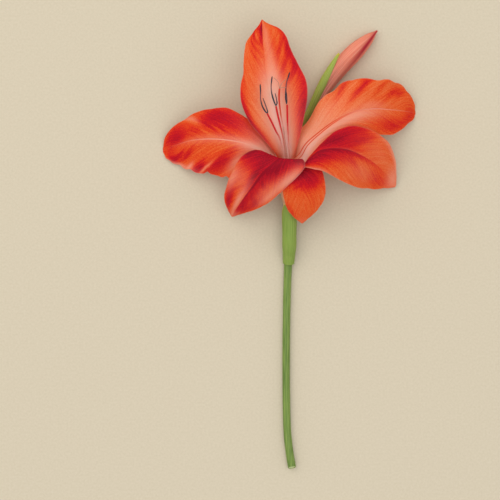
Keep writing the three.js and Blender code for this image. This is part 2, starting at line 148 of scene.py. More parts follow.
def pattern(add, sizes, place=None, detail=2.0):
    """Uneven spots with a size along each axis of a place, or of the piece in metres where none is given.
    Small round spots are a grain, and long narrow ones are streaks."""
    if place is None:
        place = add("TexCoord", output="Object")
    scaled = add("Mapping", {"Vector": place, "Scale": [1 / size for size in sizes]})
    return add("TexNoise", {"Vector": scaled, "Scale": 1.0, "Detail": detail})


def unevenly(add, number, *patterns):
    """A number plus some patterns. Each counts as its amount times how far it is from its mean, a half."""
    total = add("Math", {0: number, 1: sum(amount for _, amount in patterns) / 2}, operation="SUBTRACT")
    for spots, amount in patterns:
        total = add("Math", {0: spots, 1: amount, 2: total}, operation="MULTIPLY_ADD")
    return total


def laid_over(add, colour, layers):
    """A colour with others laid over it in turn. A layer's share is the product of its first two numbers,
    kept between 0 and 1, and the third is its tint."""
    # A Mix node keeps the sockets for colours at 6 and 7, and their mix is its output 2.
    for number, amount, tint in layers:
        share = add("Math", {0: number, 1: amount}, operation="MULTIPLY", use_clamp=True)
        tint = linear(tint) if isinstance(tint, str) else tint
        colour = add("Mix", {0: share, 6: colour, 7: tint}, output=2, data_type="RGBA")
    return colour


NO_GLOW = (0.0, (1.0, 1.0, 1.0), 1.0)


def end_material(material, colour, relief, height_mm, roughness, gloss, ior=1.4, glow=NO_GLOW):
    """Joins a colour and a relief of some height to one surface. Glow is the light that goes into the
    surface and comes out near by: its share, its reach for red, green and blue, and that reach in mm."""
    share, reach, reach_mm = glow
    add = partial(add_node, material.node_tree)
    bump = add("Bump", {"Height": relief, "Distance": height_mm * MM})
    surface = add("BsdfPrincipled", {
        "Base Color": colour, "Normal": bump, "Roughness": roughness, "Specular IOR Level": gloss,
        "IOR": ior, "Subsurface Weight": share, "Subsurface Radius": reach,
        "Subsurface Scale": reach_mm * MM})
    add("OutputMaterial", {"Surface": surface})
    return material


print("a grain of 0.6 mm has", round(1 / (0.6 * MM)), "spots in a metre")

# %% [markdown]
# ## Board and light
# A flower by a window has soft shadows, which a single bare lamp can't give. A large round light at the
# upper left stands for the window and models the folds, a lamp under the ceiling opens the shadows, and a
# pale world fills the rest. The board is matt and warm.


# %% Lay the board
def painted_board():
    """Board with matt emulsion paint, rolled on: an even warm cream with no gloss. The roller leaves a
    grain, which is drawn at 1.2 mm so that it shows."""
    material, add, _ = start_material("painted_board")
    grain = pattern(add, [1.2 * MM] * 3, detail=3.0)
    colour = add("ValToRGB", {"Fac": grain}, stops=[(0.3, "#CFC2A8"), (0.7, "#D6C9B0")])
    return end_material(material, colour, grain, 0.05, roughness=0.9, gloss=0.2, ior=1.45)


BOARD_HALF = 4.0
board_mesh = bpy.data.meshes.new("board")
corners = [(x * BOARD_HALF, y * BOARD_HALF, 0) for x, y in ((-1, -1), (1, -1), (1, 1), (-1, 1))]
board_mesh.from_pydata(corners, [], [(0, 1, 2, 3)])
board_mesh.materials.append(painted_board())
new_object("board", board_mesh)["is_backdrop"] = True
print(f"the board is {2 * BOARD_HALF:.0f} m wide")

# %% Hang the lights
LIGHTS = {
    "window": {"place": (-0.9, 0.9, 1.7), "size": 2.2, "watts": 13.4, "colour": (1.0, 0.98, 0.95)},
    "ceiling": {"place": (0.3, 0.0, 2.0), "size": 1.9, "watts": 10.6, "colour": (0.98, 0.98, 1.0)},
}
for name, light in LIGHTS.items():
    lamp = new_object(name, bpy.data.lights.new(name, "AREA"))
    lamp.data.shape = "DISK"
    lamp.data.size = light["size"]
    lamp.data.energy = light["watts"]
    lamp.data.color = light["colour"]
    lamp.location = light["place"]
    lamp.rotation_euler = (-lamp.location).to_track_quat("-Z", "Y").to_euler()

world = bpy.data.worlds.new("pale_room")
world.use_nodes = True
world.node_tree.nodes["Background"].inputs["Color"].default_value = (0.95, 0.97, 1.0, 1.0)
world.node_tree.nodes["Background"].inputs["Strength"].default_value = 0.72
bpy.context.scene.world = world
print(f"{len(LIGHTS)} soft lights in a pale room")

# %% [markdown]
# ## Lines and sheets
# Almost everything on this flower is a body carried along a line, such as a stalk, or a thin sheet, such as
# a tepal. Both start from lines through a few chosen points. Bezier handles could bend such a line too, but
# one that passes through its points is easier to place. It leaves and arrives at each along the direction
# that joins its neighbours, which gives the soft bends of living things.


# %% Lines through points
def curve(points, t):
    """The line through points, for t from 0 at the first to 1 at the last: a cubic between each two, whose
    slope at a point is half the step between its neighbours. Past the ends, points are carried on straight
    and plain numbers are held level."""
    p = np.asarray(points, float)
    before, after = (p[0], p[-1]) if p.ndim == 1 else (2 * p[0] - p[1], 2 * p[-1] - p[-2])
    padded = np.concatenate([[before], p, [after]])
    x = np.clip(t, 0, 1) * (len(p) - 1)
    i = np.minimum(x.astype(int), len(p) - 2)
    w = (x - i).reshape(x.shape + (1,) * (p.ndim - 1))
    a, b, c, d = (padded[i + k] for k in range(4))
    return b + w * (c - a) / 2 + w**2 * (a - 2.5 * b + 2 * c - d / 2) + w**3 * (1.5 * (b - c) + (d - a) / 2)


def unit(v):
    """Each vector at length 1."""
    return v / np.linalg.norm(v, axis=-1, keepdims=True)


def frames_along(line, t):
    """For each t of a line, which is a function of t or a list of points: its centre, the way it goes, the
    side nearest to straight up, and the side to the left of that."""
    step = 1e-4
    place = line if callable(line) else lambda s: curve(line, s)
    along = unit(place(np.minimum(t + step, 1)) - place(np.maximum(t - step, 0)))
    up = unit(np.array([0.0, 0.0, 1.0]) - along * along[:, 2:])
    return place(t), along, up, np.cross(up, along)


def around(frames, angle, radius):
    """Points at an angle and a radius round a line, with one row for each place along it: 0 is up, and a
    quarter turn is left."""
    centre, _, up, left = frames
    return (centre[:, None] + up[:, None] * (radius * np.cos(angle))[..., None]
            + left[:, None] * (radius * np.sin(angle))[..., None])


def full_turn(sides):
    """Evenly spaced angles once round a line, in the direction that makes faces point outwards."""
    return -(np.arange(sides) / sides) * 2 * np.pi


def wobble(x, seed, layers=4):
    """A smooth random line between -1 and 1: sines of rising frequency with phases drawn from a seed."""
    phases = np.random.default_rng(seed).random(layers)
    sizes = [0.65**layer for layer in range(layers)]
    waves = [size * np.sin(2 * np.pi * (1.73**layer * x + phases[layer]))
             for layer, size in enumerate(sizes)]
    return sum(waves) / sum(sizes)


print("halfway along 0, 1, 4 the line is at", curve([0, 1, 4], np.array([0.5]))[0])


# %% Grids into meshes
def grid_faces(rows, columns, closed=False):
    """The four corners of each face of a grid, as rows and columns. On a grid that closes round on itself
    the last faces reach a column one past the end, so that a map on it can run to its edge."""
    i, j = np.meshgrid(np.arange(rows - 1), np.arange(columns if closed else columns - 1), indexing="ij")
    rows_of, columns_of = np.stack([i, i, i + 1, i + 1], -1), np.stack([j, j + 1, j + 1, j], -1)
    return rows_of.reshape(-1, 4), columns_of.reshape(-1, 4)


def sheet_normals(sheet):
    """The normal at each point of a grid: across its rows and its columns."""
    return unit(np.cross(np.gradient(sheet, axis=0), np.gradient(sheet, axis=1)))


def blade(sheet, thickness):
    """A thin closed body round a sheet: half the thickness to each side of it, and a rim that joins the
    two faces. The second half of its vertices is the face that the normals point away from."""
    rows, columns = sheet.shape[:2]
    half = sheet_normals(sheet) * np.broadcast_to(thickness, (rows, columns))[..., None] / 2
    vertices = np.concatenate([(sheet + half).reshape(-1, 3), (sheet - half).reshape(-1, 3)])
    i, j = grid_faces(rows, columns)
    back = i * columns + j
    number = np.arange(rows * columns).reshape(rows, columns)
    rim = np.concatenate([number[:-1, 0], number[-1, :-1], number[:0:-1, -1], number[0, :0:-1]])
    following = np.roll(rim, -1)
    rim_faces = np.stack([following, rim, rim + rows * columns, following + rows * columns], -1)
    faces = np.concatenate([back[:, ::-1], back + rows * columns, rim_faces])
    spots = np.stack(np.meshgrid(np.linspace(0, 1, rows), np.linspace(0, 1, columns), indexing="ij"), -1)
    return vertices, faces.tolist(), spots.reshape(-1, 2)[faces % (rows * columns)].reshape(-1, 2)


def loft(rings):
    """A closed body carried through rings of points, with a fan over each end."""
    rows, sides = rings.shape[:2]
    vertices = np.concatenate([rings.reshape(-1, 3), [rings[0].mean(0), rings[-1].mean(0)]])
    i, j = grid_faces(rows, sides, closed=True)
    k = np.arange(sides)
    k1 = (k + 1) % sides
    foot = np.stack([np.full(sides, rows * sides), k1, k], -1)
    head = np.stack([np.full(sides, rows * sides + 1), (rows - 1) * sides + k, (rows - 1) * sides + k1], -1)
    wall = np.stack([i / (rows - 1), j / sides], -1).reshape(-1, 2)
    foot_map = np.stack([np.zeros(3 * sides), np.repeat(k / sides, 3)], -1)
    head_map = foot_map + [1, 0]
    faces = (i * sides + j % sides).tolist() + foot.tolist() + head.tolist()
    return vertices, faces, np.concatenate([wall, foot_map, head_map])


print("a grid of 3 by 3 points has", len(grid_faces(3, 3)[0]), "faces")

# %% Put a piece in the place of its solid
THROAT_TO_FRAME = np.array([-2.0, 41.7, 0.0])
SHARP_ANGLE = math.radians(70)


def set_piece(node, body, material, slot, **values):
    """Puts a body in the place of its solid. The values are numbers per vertex that its material reads."""
    vertices, faces, spots = body
    mesh = bpy.data.meshes.new("fine_" + node)
    mesh.from_pydata(((vertices + THROAT_TO_FRAME) * MM).tolist(), [], faces)
    mesh.uv_layers.new(name="spots").data.foreach_set("uv", spots.astype(np.float32).ravel())
    for key, numbers in values.items():
        attribute = mesh.attributes.new(key, "FLOAT", "POINT")
        attribute.data.foreach_set("value", np.asarray(numbers, np.float32).ravel())
    mesh.shade_smooth()
    mesh.set_sharp_from_angle(angle=SHARP_ANGLE)
    mesh.materials.append(material)
    piece = new_object("fine_" + node, mesh)
    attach(piece, "root")
    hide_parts(node)
    print(f"{piece.name}: {len(faces)} faces")


print("the board under the throat is at", THROAT_TO_FRAME, "mm in the frame")

# %% [markdown]
# ## The throat
# The six tepals join in a tube that rises along the stem and bends up to an open throat. The throat faces
# up and leans towards the bud. It could be built lying along an axis and turned into place. Instead each
# point is worked out where it is, from the throat's centre and the way it faces, so that every piece
# shares one set of numbers. Angles round it are counted from above, with 0 to the right.

# %% The line of the tube and points round its rim
THROAT_RADIUS = 9.0
THROAT_TILT = math.radians(40)
TUBE_WALL = 0.6
TUBE_FOOT = (2, -38, 9.4)
TUBE_BEND = (2, -20, 9.4)
BEND_BELOW_THROAT = 14
throat = np.array([0.0, 0.0, 22.0])
throat_axis = np.array([0.0, math.sin(THROAT_TILT), math.cos(THROAT_TILT)])
throat_upward = np.cross(throat_axis, [1.0, 0.0, 0.0])


def throat_point(degrees, radius, height):
    """A point near the throat, at an angle and a radius round it and a height over its rim."""
    angle = np.radians(degrees)
    return (throat + [radius * np.cos(angle), 0, 0] + throat_upward * radius * np.sin(angle)
            + throat_axis * height)


def tube_line(t):
    """The middle line of the tube: a cubic Bezier curve that starts level and ends along the throat's
    axis."""
    points = np.array([TUBE_FOOT, TUBE_BEND, throat - BEND_BELOW_THROAT * throat_axis, throat])
    s = np.asarray(t, float)[:, None]
    weights = [(1 - s)**3, 3 * s * (1 - s)**2, 3 * s**2 * (1 - s), s**3]
    return sum(weight * point for weight, point in zip(weights, points))


print("the throat is at", throat, "and its rim is", 2 * THROAT_RADIUS, "mm across")

# %% [markdown]
# ## The tepals
# A tepal is a living sheet about a third of a millimetre thick. It starts as a narrow claw on the rim of the
# tube, widens into a limb and ends in a soft point. It could be sculpted from a plane, but then no number
# would say what it is. Here three lines shape it, two margins and the midrib, through stations chosen from
# above and from the side. Between them the sheet bows, gently on the upper three tepals and with a sharp
# keel on two of the lower ones. Ruffles grow towards the margins.

# %% Stations of the six tepals
# Each station is a point on the first margin, the midrib and the second margin. The claw is the angle
# round the throat, the fold is the power of the bow, and each half's ruffles are a height in mm, a number
# of waves and where they start.
TEPALS = {
    "top": {"claw": 90, "fold": 1.8, "ruffles": [(0.8, 2.5, 0.2), (0.8, 2.5, 0.6)], "stations": [
        [(-6.9, 10.3, 22.4), (0, 10.4, 18.6), (5.6, 10.4, 21)],
        [(-13.7, 17.9, 27.5), (-2.5, 19, 23), (7.3, 17.9, 25.5)],
        [(-21, 27.2, 31), (-5.9, 29.1, 27), (9.5, 27.4, 29.5)],
        [(-24.6, 38.6, 32), (-8.7, 40.3, 29.5), (11.8, 39.2, 31)],
        [(-25.2, 49.3, 31.5), (-10.4, 50.4, 30), (11.2, 49.3, 30)],
        [(-23.8, 59.9, 30), (-11.8, 61, 29.5), (6.7, 59.1, 28.5)],
        [(-22.7, 70, 27.5), (-12.9, 70.6, 28), (2.2, 68.9, 26.5)],
        [(-18.2, 77.6, 25.3), (-13.3, 77.8, 25.6), (-1.1, 77.8, 24.5)],
        [(-15, 80.9, 23.9), (-13.4, 81.8, 24), (-9, 81.2, 23.7)],
        [(-13.8, 83.6, 23.2), (-13.4, 84, 23.2), (-12.9, 83.7, 23.2)],
    ]},
    "upper_left": {"claw": 150, "fold": 1.8, "ruffles": [(1.2, 4, 0.1), (0.7, 2.5, 0.5)], "stations": [
        [(-11.1, 3.5, 24.3), (-9.6, 7, 20.9), (-6.6, 9.4, 17.7)],
        [(-16.8, 5.6, 27), (-15.1, 11.8, 25.2), (-10, 19, 21.5)],
        [(-24.1, 0.6, 23.5), (-22.4, 14.6, 27), (-21.6, 28.8, 26.5)],
        [(-31.9, -4.5, 17), (-31.4, 16.5, 25), (-31.9, 34.4, 26.5)],
        [(-42, -2.8, 12.5), (-42, 17.4, 20.5), (-42, 34, 22.5)],
        [(-52.6, -0.3, 7.5), (-52.6, 16.8, 14), (-53.2, 31.4, 16)],
        [(-61, 2.5, 3.5), (-61, 14.6, 7.5), (-62.7, 25.2, 9)],
        [(-66.6, 6.2, 1.6), (-66.1, 12.6, 3), (-67.8, 19, 3.8)],
        [(-69, 9.8, 0.4), (-69.2, 11.2, 0.4), (-69.3, 12.6, 0.5)],
    ]},
    "upper_right": {"claw": 30, "fold": 1.8, "ruffles": [(1.3, 4, 0), (0.8, 2.5, 0.3)], "stations": [
        [(4.4, 9.9, 17.5), (9.4, 7, 21.1), (11.2, 3.3, 24.3)],
        [(4.2, 17.9, 20.8), (12, 13.9, 24.8), (16.8, 10.1, 28)],
        [(11.8, 27.4, 24), (19, 20.7, 27.5), (24.6, 16.5, 29.5)],
        [(19, 38.4, 27), (28, 27.4, 29), (33, 19.6, 28)],
        [(31.4, 48.7, 26.5), (38.4, 32.5, 27), (42.6, 20.2, 24)],
        [(45.4, 51.5, 23), (49.3, 34.2, 21.5), (52.6, 19.9, 17.5)],
        [(58.8, 50.7, 16.5), (59.4, 33.9, 14.5), (61.6, 20.4, 11)],
        [(68.3, 45.6, 9.5), (67.2, 33.3, 8), (68.3, 25.2, 6)],
        [(72, 38.6, 4.2), (71.1, 32.8, 3), (71.7, 28.6, 2.2)],
        [(73, 33.9, 0.6), (73.1, 32.5, 0.4), (72.8, 31.1, 0.4)],
    ]},
    "lower_left": {"claw": 210, "fold": 1.4, "ruffles": [(0.5, 2, 0.2), (0.5, 2, 0.7)], "stations": [
        [(-5.4, -4, 30.6), (-8.8, -1.3, 28.3), (-10.2, 2.3, 25.3)],
        [(0, 0, 36.5), (-6.7, 2.8, 34.5), (-11.2, 6.7, 30.5)],
        [(8.4, 5.4, 39.3), (-3.9, 6.2, 38.3), (-12.3, 10.1, 34)],
        [(10.4, 1.8, 39.4), (-8.1, 2.8, 40), (-17.9, 10.9, 35)],
        [(6.7, -3.9, 37.2), (-13.7, -2.2, 38), (-24.1, 7.6, 33)],
        [(-1.7, -11.5, 32), (-19, -9.5, 31.5), (-29.4, 0.6, 28)],
        [(-9.8, -18.5, 25), (-23.5, -15.4, 24.5), (-33, -7.8, 21.5)],
        [(-18.5, -22.4, 17.5), (-27.2, -20.7, 17), (-34.7, -15.7, 15)],
        [(-24.6, -24.4, 12), (-29.4, -24.1, 11), (-33.3, -20.7, 10.5)],
        [(-29.1, -25.9, 7.5), (-30.4, -25.8, 7), (-31.1, -24.6, 7.3)],
    ]},
    "lower_middle": {"claw": 270, "fold": 1.8, "ruffles": [(0.5, 2, 0.4), (0.4, 2, 0)], "stations": [
        [(4.7, -6, 30.6), (0, -6.2, 31.8), (-4.5, -5.5, 31.4)],
        [(13, 2.4, 31.2), (5.2, -3.2, 32.6), (-2.8, -4.9, 33)],
        [(19.6, 0.1, 30.8), (7.8, -6.4, 32.4), (-2.2, -8.4, 31.6)],
        [(21.8, -7.3, 28.5), (9.5, -12.3, 30), (-1.9, -12.9, 29)],
        [(21.6, -14.6, 24.5), (10.1, -17.9, 26), (-1.1, -17.9, 25)],
        [(17.9, -21.8, 20.5), (9.8, -23.2, 21.5), (1.1, -22.4, 21)],
        [(13.4, -26.6, 17), (9.2, -27.2, 17.5), (4.5, -26.3, 17.5)],
        [(9.8, -29.4, 14.8), (9, -29.7, 14.8), (8.1, -29.3, 15)],
    ]},
    "lower_right": {"claw": 330, "fold": 1.4, "ruffles": [(0.6, 2, 0), (0.6, 2, 0.5)], "stations": [
        [(10.2, 2.3, 25.3), (8.5, -0.8, 28.8), (4.9, -2.8, 31.6)],
        [(12, 5.9, 30), (10.2, 3, 34.4), (7.2, 0.9, 36.4)],
        [(15.2, 9.4, 34), (13.4, 6.5, 37.6), (10.4, 1.1, 36.6)],
        [(20.2, 14.3, 35.5), (18.5, 10.4, 40), (15.4, 0, 37.5)],
        [(27.2, 21, 35), (25.5, 11.6, 39), (21.3, -1.3, 36)],
        [(37, 24.5, 32), (34.2, 10.9, 35), (29.7, -5.6, 31)],
        [(47.6, 22.2, 26.5), (42.3, 7.8, 28.5), (38.1, -9.2, 24)],
        [(56.6, 16.8, 19.5), (49.6, 3.6, 20.5), (45.9, -10.9, 16)],
        [(61, 7.3, 11.5), (55.7, -1.7, 12.5), (53.5, -10.6, 9)],
        [(62.2, -1.1, 6), (59.4, -5.6, 6.5), (58.2, -10, 5)],
        [(62.3, -7.8, 2.8), (61.8, -9, 2.8), (61, -9.4, 2.8)],
    ]},
}
print(f"{len(TEPALS)} tepals, {sum(len(t['stations']) for t in TEPALS.values())} stations")

# %% [markdown]
# ## From stations to a sheet
# Each tepal is a grid. One number, u, runs along the midrib from the claw to the tip, and the other, v,
# runs from -1 at one margin to 1 at the other. Fine things could be left to a bump in the material. They
# are part of the sheet here, because they then catch the light from every side: pleats that follow the
# veins, a groove over the midrib, a frill, and small nicks in the margin.

# %% Pleats, ruffles and nicks
VEIN_LEAN = 0.026
PLEATS = 8
PLEAT_DEPTH = 0.1
GROOVE_DEPTH = 0.3
GROOVE_HALF_WIDTH = 0.7
RUFFLE_LEAN = 0.22
FRILL_DEPTH = 0.3
FRILL_WAVES = 6
FRILL_SHIFT = 3.5
# Each nick: the half of the tepal that it lies on, by its sign, and then in hundredths where along u its
# middle is, how far it spreads, and what share of the half width it takes.
NICKS = {
    "top": [(-1, 63, 5, 8), (-1, 80, 4, 3), (1, 93, 4, 10), (-1, 45, 8, -3)],
    "upper_left": [
        (-1, 42, 2.5, 6), (-1, 58.5, 1.8, 6), (-1, 72, 3, 6), (-1, 84, 3, 6), (-1, 93, 2, 6), (1, 34, 5, 3),
        (1, 77, 5, 7), (1, 60, 4, -2),
    ],
    "upper_right": [
        (-1, 45.5, 3, 7), (-1, 56.5, 1.5, 2), (-1, 70, 4, 8), (-1, 80, 2.5, 5), (-1, 90, 2, 6),
        (1, 92, 3, 9), (1, 80, 3, 3),
    ],
    "lower_left": [(1, 60, 5, 3), (1, 80, 4, -3), (-1, 75, 6, 4)],
    "lower_middle": [(1, 60, 6, 3)],
    "lower_right": [(1, 72, 5, 5), (1, 88, 3, 5), (-1, 68, 5, 3)],
}
# On one tepal the groove leaves the claw beside its middle: by what share of the half width, and how far
# along u it takes to come back.
RIB_SHIFT = {"upper_right": (1.0, 0.048)}
print(sum(len(nicks) for nicks in NICKS.values()), "nicks in the margins")

# %% The sheet of a tepal
TEPAL_ROWS = 200
TEPAL_COLUMNS = 101
MEASURING_STEPS = 400
CLAW_HALF_ANGLE = 29
CLAW_HEIGHT = 0.1


def tepal_grid(name, tepal, seed):
    """The sheet of a tepal and its measures. Each row is a bow: straight from margin to margin, plus the
    midrib's drop faded by a power of the distance from it. Nicks draw the margin in. Then waves lift the
    sheet along its normal, with heights that fade to nothing at both ends: ruffles grow with the cube of
    that distance and a frill with its sixth power, both lean outwards as they near the margin, and pleats
    between the veins and the groove of the midrib are added."""
    claw = [throat_point(tepal["claw"] + side * CLAW_HALF_ANGLE, THROAT_RADIUS - TUBE_WALL / 2, CLAW_HEIGHT)
            for side in (1, 0, -1)]
    stations = np.array([claw, *tepal["stations"]])
    fine = np.linspace(0, 1, MEASURING_STEPS)
    steps = np.linalg.norm(np.diff(curve(stations[:, 1], fine), axis=0), axis=1)
    travelled = np.concatenate([[0], np.cumsum(steps)])
    length = travelled[-1]
    u = np.linspace(0, 1, TEPAL_ROWS)
    t = np.interp(u * length, travelled, fine)
    first, rib, second = (curve(stations[:, k], t)[:, None] for k in range(3))
    v = np.linspace(-1, 1, TEPAL_COLUMNS)[None, :]
    t, u = t[:, None], u[:, None]
    swell = np.clip(np.sin(np.pi * t), 0, 1)
    drawn_in = sum(share * (side * v > 0) * np.exp(-((u - at) / spread)**2)
                   for side, at, spread, share in np.array(NICKS[name]) / 100)
    reach = v * (1 - drawn_in * np.abs(v)**5)
    bow = (first + second) / 2 - rib
    sheet = rib + (second - first) * reach[..., None] / 2 + bow * (np.abs(reach)**tepal["fold"])[..., None]
    width = np.linalg.norm(second - first, axis=-1)
    leaning = t - RUFFLE_LEAN * (np.abs(v) - 1)
    lift = 0
    for half, (height, waves, start) in zip((v < 0, v >= 0), tepal["ruffles"]):
        wave = np.sin(2 * np.pi * (waves * leaning + start))
        lift = lift + half * height * swell**0.7 * np.abs(v)**3 * wave
    frill = wobble(FRILL_WAVES * leaning + np.where(v < 0, 0.0, FRILL_SHIFT), seed)
    lift = lift + FRILL_DEPTH * swell**0.6 * np.abs(v)**6 * frill
    vein_place = np.abs(v) - VEIN_LEAN * length * u**2
    lift = lift + PLEAT_DEPTH * swell * np.sin(np.pi * v)**2 * np.sin(np.pi * PLEATS * vein_place)
    shift, fade = RIB_SHIFT.get(name, (0.0, 1.0))
    from_rib = (v + shift * np.exp(-u / fade)) * width / 2
    lift = lift + GROOVE_DEPTH * swell * u**0.5 * np.exp(-(from_rib / GROOVE_HALF_WIDTH)**2)
    sheet = sheet + sheet_normals(sheet) * lift[..., None]
    return SimpleNamespace(sheet=sheet, u=u, v=v, width=width, length=length, from_rib=from_rib,
                           vein_place=vein_place)


TEPAL_MIDDLE = 0.46
TEPAL_MARGIN = 0.16
CLAW_EXTRA = 0.4


def tepal_body(grid):
    """The sheet thickened: firm at the claw and midrib, thin at the margin."""
    firm = (1 - np.abs(grid.v)**3) * (TEPAL_MIDDLE - TEPAL_MARGIN) + TEPAL_MARGIN
    return blade(grid.sheet, firm * (1 + CLAW_EXTRA * (1 - grid.u)**4))


grids = {}
for number, (name, tepal) in enumerate(TEPALS.items()):
    grids[name] = tepal_grid(name, tepal, seed=10 * number)
    print(f"tepal_{name}: {grids[name].length:.0f} mm long, {grids[name].width.max():.0f} mm wide")

# %% [markdown]
# ## The colour of the tepals
# A gladiolus is coloured by pigment in thin layers of cells, so its colours run into each other like washes
# of paint. A ramp along the tepal would be too plain for that, and an image couldn't be moved about. So two
# numbers at each vertex say where the pigment lies: depth goes from salmon through orange and scarlet to
# crimson, and blush says how much pale pink lies over that. Each is a base and a few soft patches, placed in
# u and v. The material then adds what no patch can: hair-fine veins, a pale line along the margin and a
# grain of cells.
# Not all of it is pigment. Some crimson patches in the folds and beside the keels of the lower tepals are
# painted shade. Where blush runs past 1 at the claws, its paler pink is painted light over the shaded throat
# and the hollow of the top tepal.

# %% Washes of pigment on each tepal
# Each wash, in hundredths: where its middle lies in u and v, how far it spreads along and across, and how
# much it adds. A sixth number carries its middle along u as v grows, and a seventh, by its sign, keeps it
# on one half.
PIGMENT = {
    "top": {"base": 0.4, "depth": [
        (36, 100, 26, 25, 54), (80, 95, 20, 20, 34), (62, 70, 3, 26, 22, 40), (70, 62, 3.5, 24, 24, 40),
        (80, 60, 3, 20, 18, 35), (32, -100, 22, 17, 58), (16, -84, 12, 20, 14), (93, -5, 12, 16, 46, 0, -1),
        (81.5, -50, 2, 34, 26, -20), (87.5, -55, 2, 40, 30, -16), (76, -50, 2, 30, 18, -25),
        (94, -40, 4, 40, 26), (20, -20, 20, 90, -12), (72, -50, 16, 40, 5), (76, 42, 16, 16, 12),
    # In the blush below, the first two patches, at the claw and up the hollow, are painted light over the
    # shaded throat and hollow, on a throat that is also paler of its own.
    ], "blush": [
        (0, 10, 23, 62, 175), (30, 10, 24, 42, 115), (64, 20, 18, 16, 30, 0, 1), (90, 16, 12, 14, 20, 0, 1),
        (50, 5, 14, 26, 40),
    ]},
    "upper_left": {"base": 0.47, "depth": [
        (38, 66, 16, 40, 29), (55, 72, 11, 30, 26), (46, 32, 2, 20, 13, 30), (54, 34, 2, 22, 14, 30),
        (87, 52, 12, 44, 30), (83, 22, 8, 20, 15), (65, 36, 9, 22, 14), (92, -30, 8, 40, 16),
        (68, 60, 3, 45, -16, 25), (48, -64, 8, 34, 36, -26), (64.5, -85, 3.5, 22, 42, -15),
        (76, -50, 3.6, 26, 28, -20), (84, -55, 3, 28, 28, -18), (90, -78, 5, 24, 26),
        (69, -92, 1.6, 14, 20, -15), (58.5, -80, 1.4, 30, -30, -28), (17, 30, 8, 70, 10),
    # The first blush patch, at the claw, is painted light over the shaded throat, on a throat that is also
    # paler of its own.
    ], "blush": [
        (0, 20, 17, 70, 160), (22, -5, 12, 20, 55), (40, 3, 20, 12, 22), (66, -2, 16, 12, 12),
        (72, 85, 2.5, 20, 36, 25), (83, -97, 12, 10, 50), (73, -88, 2, 14, 45, -15),
        (34, -60, 5, 25, 40, -20), (60, -85, 1.4, 20, 30, -28),
    ], "pale_rib": [(44, 0, 27, 200, 95)]},
    "upper_right": {"base": 0.38, "depth": [
        (49, -85, 3.5, 24, 26, -20), (59, -68, 3.2, 34, 30, -25), (63, -95, 3, 14, 16),
        (71, -72, 2, 26, 16, -15), (79, -60, 2.5, 26, 18, -16), (84.5, -66, 2.5, 28, 18, -14),
        (82, -70, 6, 20, 8), (77, 64, 17, 40, 28), (95, 10, 8, 80, 22), (72, -30, 10, 25, 6),
        (22, -40, 22, 60, -14),
    # The first blush patch, at the claw, is painted light over the shaded throat, on a throat that is also
    # paler of its own.
    ], "blush": [
        (0, 20, 20, 80, 150), (33, 22, 22, 26, 60), (54, 12, 14, 16, 30), (64, -14, 9, 14, 18),
        (30, -50, 18, 40, 22), (52, 85, 5, 14, 30),
    ], "red_rib": [(22, 0, 30, 200, 115)], "pale_rib": [(62, 0, 22, 200, 80)]},
    # On the lower left tepal, the narrow depth patches that hug the midrib fold, at v -2, 10 and 14, are
    # painted shade in the fold and its groove, over the tepal's own crimson.
    "lower_left": {"base": 0.44, "depth": [
        (33, 55, 15, 90, 43, 0, 1), (48, 14, 12, 16, 34, 0, 1), (12, 0, 16, 120, 45), (82, 68, 13, 24, 43),
        (36, 97, 6, 12, 30, 0, 1), (37, -24, 16, 48, 52, 0, -1), (74, -12, 22, 20, 32, 0, -1),
        (54, -30, 3, 22, 16, -20), (63, -36, 3, 24, 17, -20), (72, -50, 3.5, 26, 26, -20),
        (84, -50, 12, 40, 31), (50, -2, 30, 5, 34, 0, -1), (26, -90, 6, 30, 45), (42, -100, 14, 5, 50),
        (60, 50, 20, 50, 6), (60, 10, 9, 10, 16, 0, 1),
    ], "blush": [
        (78, 15, 17, 13, 50, 0, 1), (64, 88, 10, 20, 36), (46, -86, 11, 20, 60), (65, -78, 10, 16, 35),
        (97, 0, 6, 60, 30), (58, 50, 10, 30, 15), (60, -50, 12, 20, 14),
    ]},
    "lower_middle": {"base": 0.45, "depth": [
        (22, -10, 16, 120, 56), (42, -45, 9, 50, 25), (40, 20, 2, 30, 12, 10), (80, 85, 12, 25, 14),
    ], "blush": [(97, 0, 6, 80, 12)]},
    # On the lower right tepal, the long depth patch beside the keel, at u 42 and v 2, is painted shade under
    # the fold.
    "lower_right": {"base": 0.42, "depth": [
        (37, -50, 18, 75, 50, 0, -1), (54, -85, 10, 25, 14, 0, -1), (30, -60, 8, 50, 12, 0, -1),
        (54, -40, 4, 30, 11, -20, -1), (24, 36, 14, 46, 50, 0, 1), (42, 2, 28, 13, 46, 0, 1),
        (42, 30, 12, 18, 24, 0, 1), (54, 40, 3, 24, 14, 25, 1), (80, 50, 12, 42, 19), (8, 0, 10, 120, 40),
    ], "blush": [
        (95, -20, 7, 120, 44), (84, -97, 14, 12, 45), (52, -3, 15, 5, 6, 0, -1), (28, 99, 10, 8, 34),
        (62, 50, 14, 30, 12), (70, -40, 15, 40, 8),
    ]},
}
print("washes:", {name: len(pigment["depth"] + pigment["blush"]) for name, pigment in PIGMENT.items()})


# %% The pigment at each vertex
def washed(grid, washes):
    """The sum of soft patches: each is its amount times the bell curve of the distance from its middle."""
    total = np.zeros((grid.u.size, grid.v.size))
    for wash in washes:
        at_u, at_v, along, across, amount, slant, side = np.array([*wash, 0, 0][:7]) / 100
        off_v = grid.v - at_v
        off_u = (grid.u - at_u - slant * off_v) / along
        total += amount * (side * grid.v >= 0) * np.exp(-off_u**2 - (off_v / across)**2)
    return total


RED_LINES_GAP = 0.15
RED_LINES_SPREAD = 0.9
HALVES_APART = (9.0, 3.0)


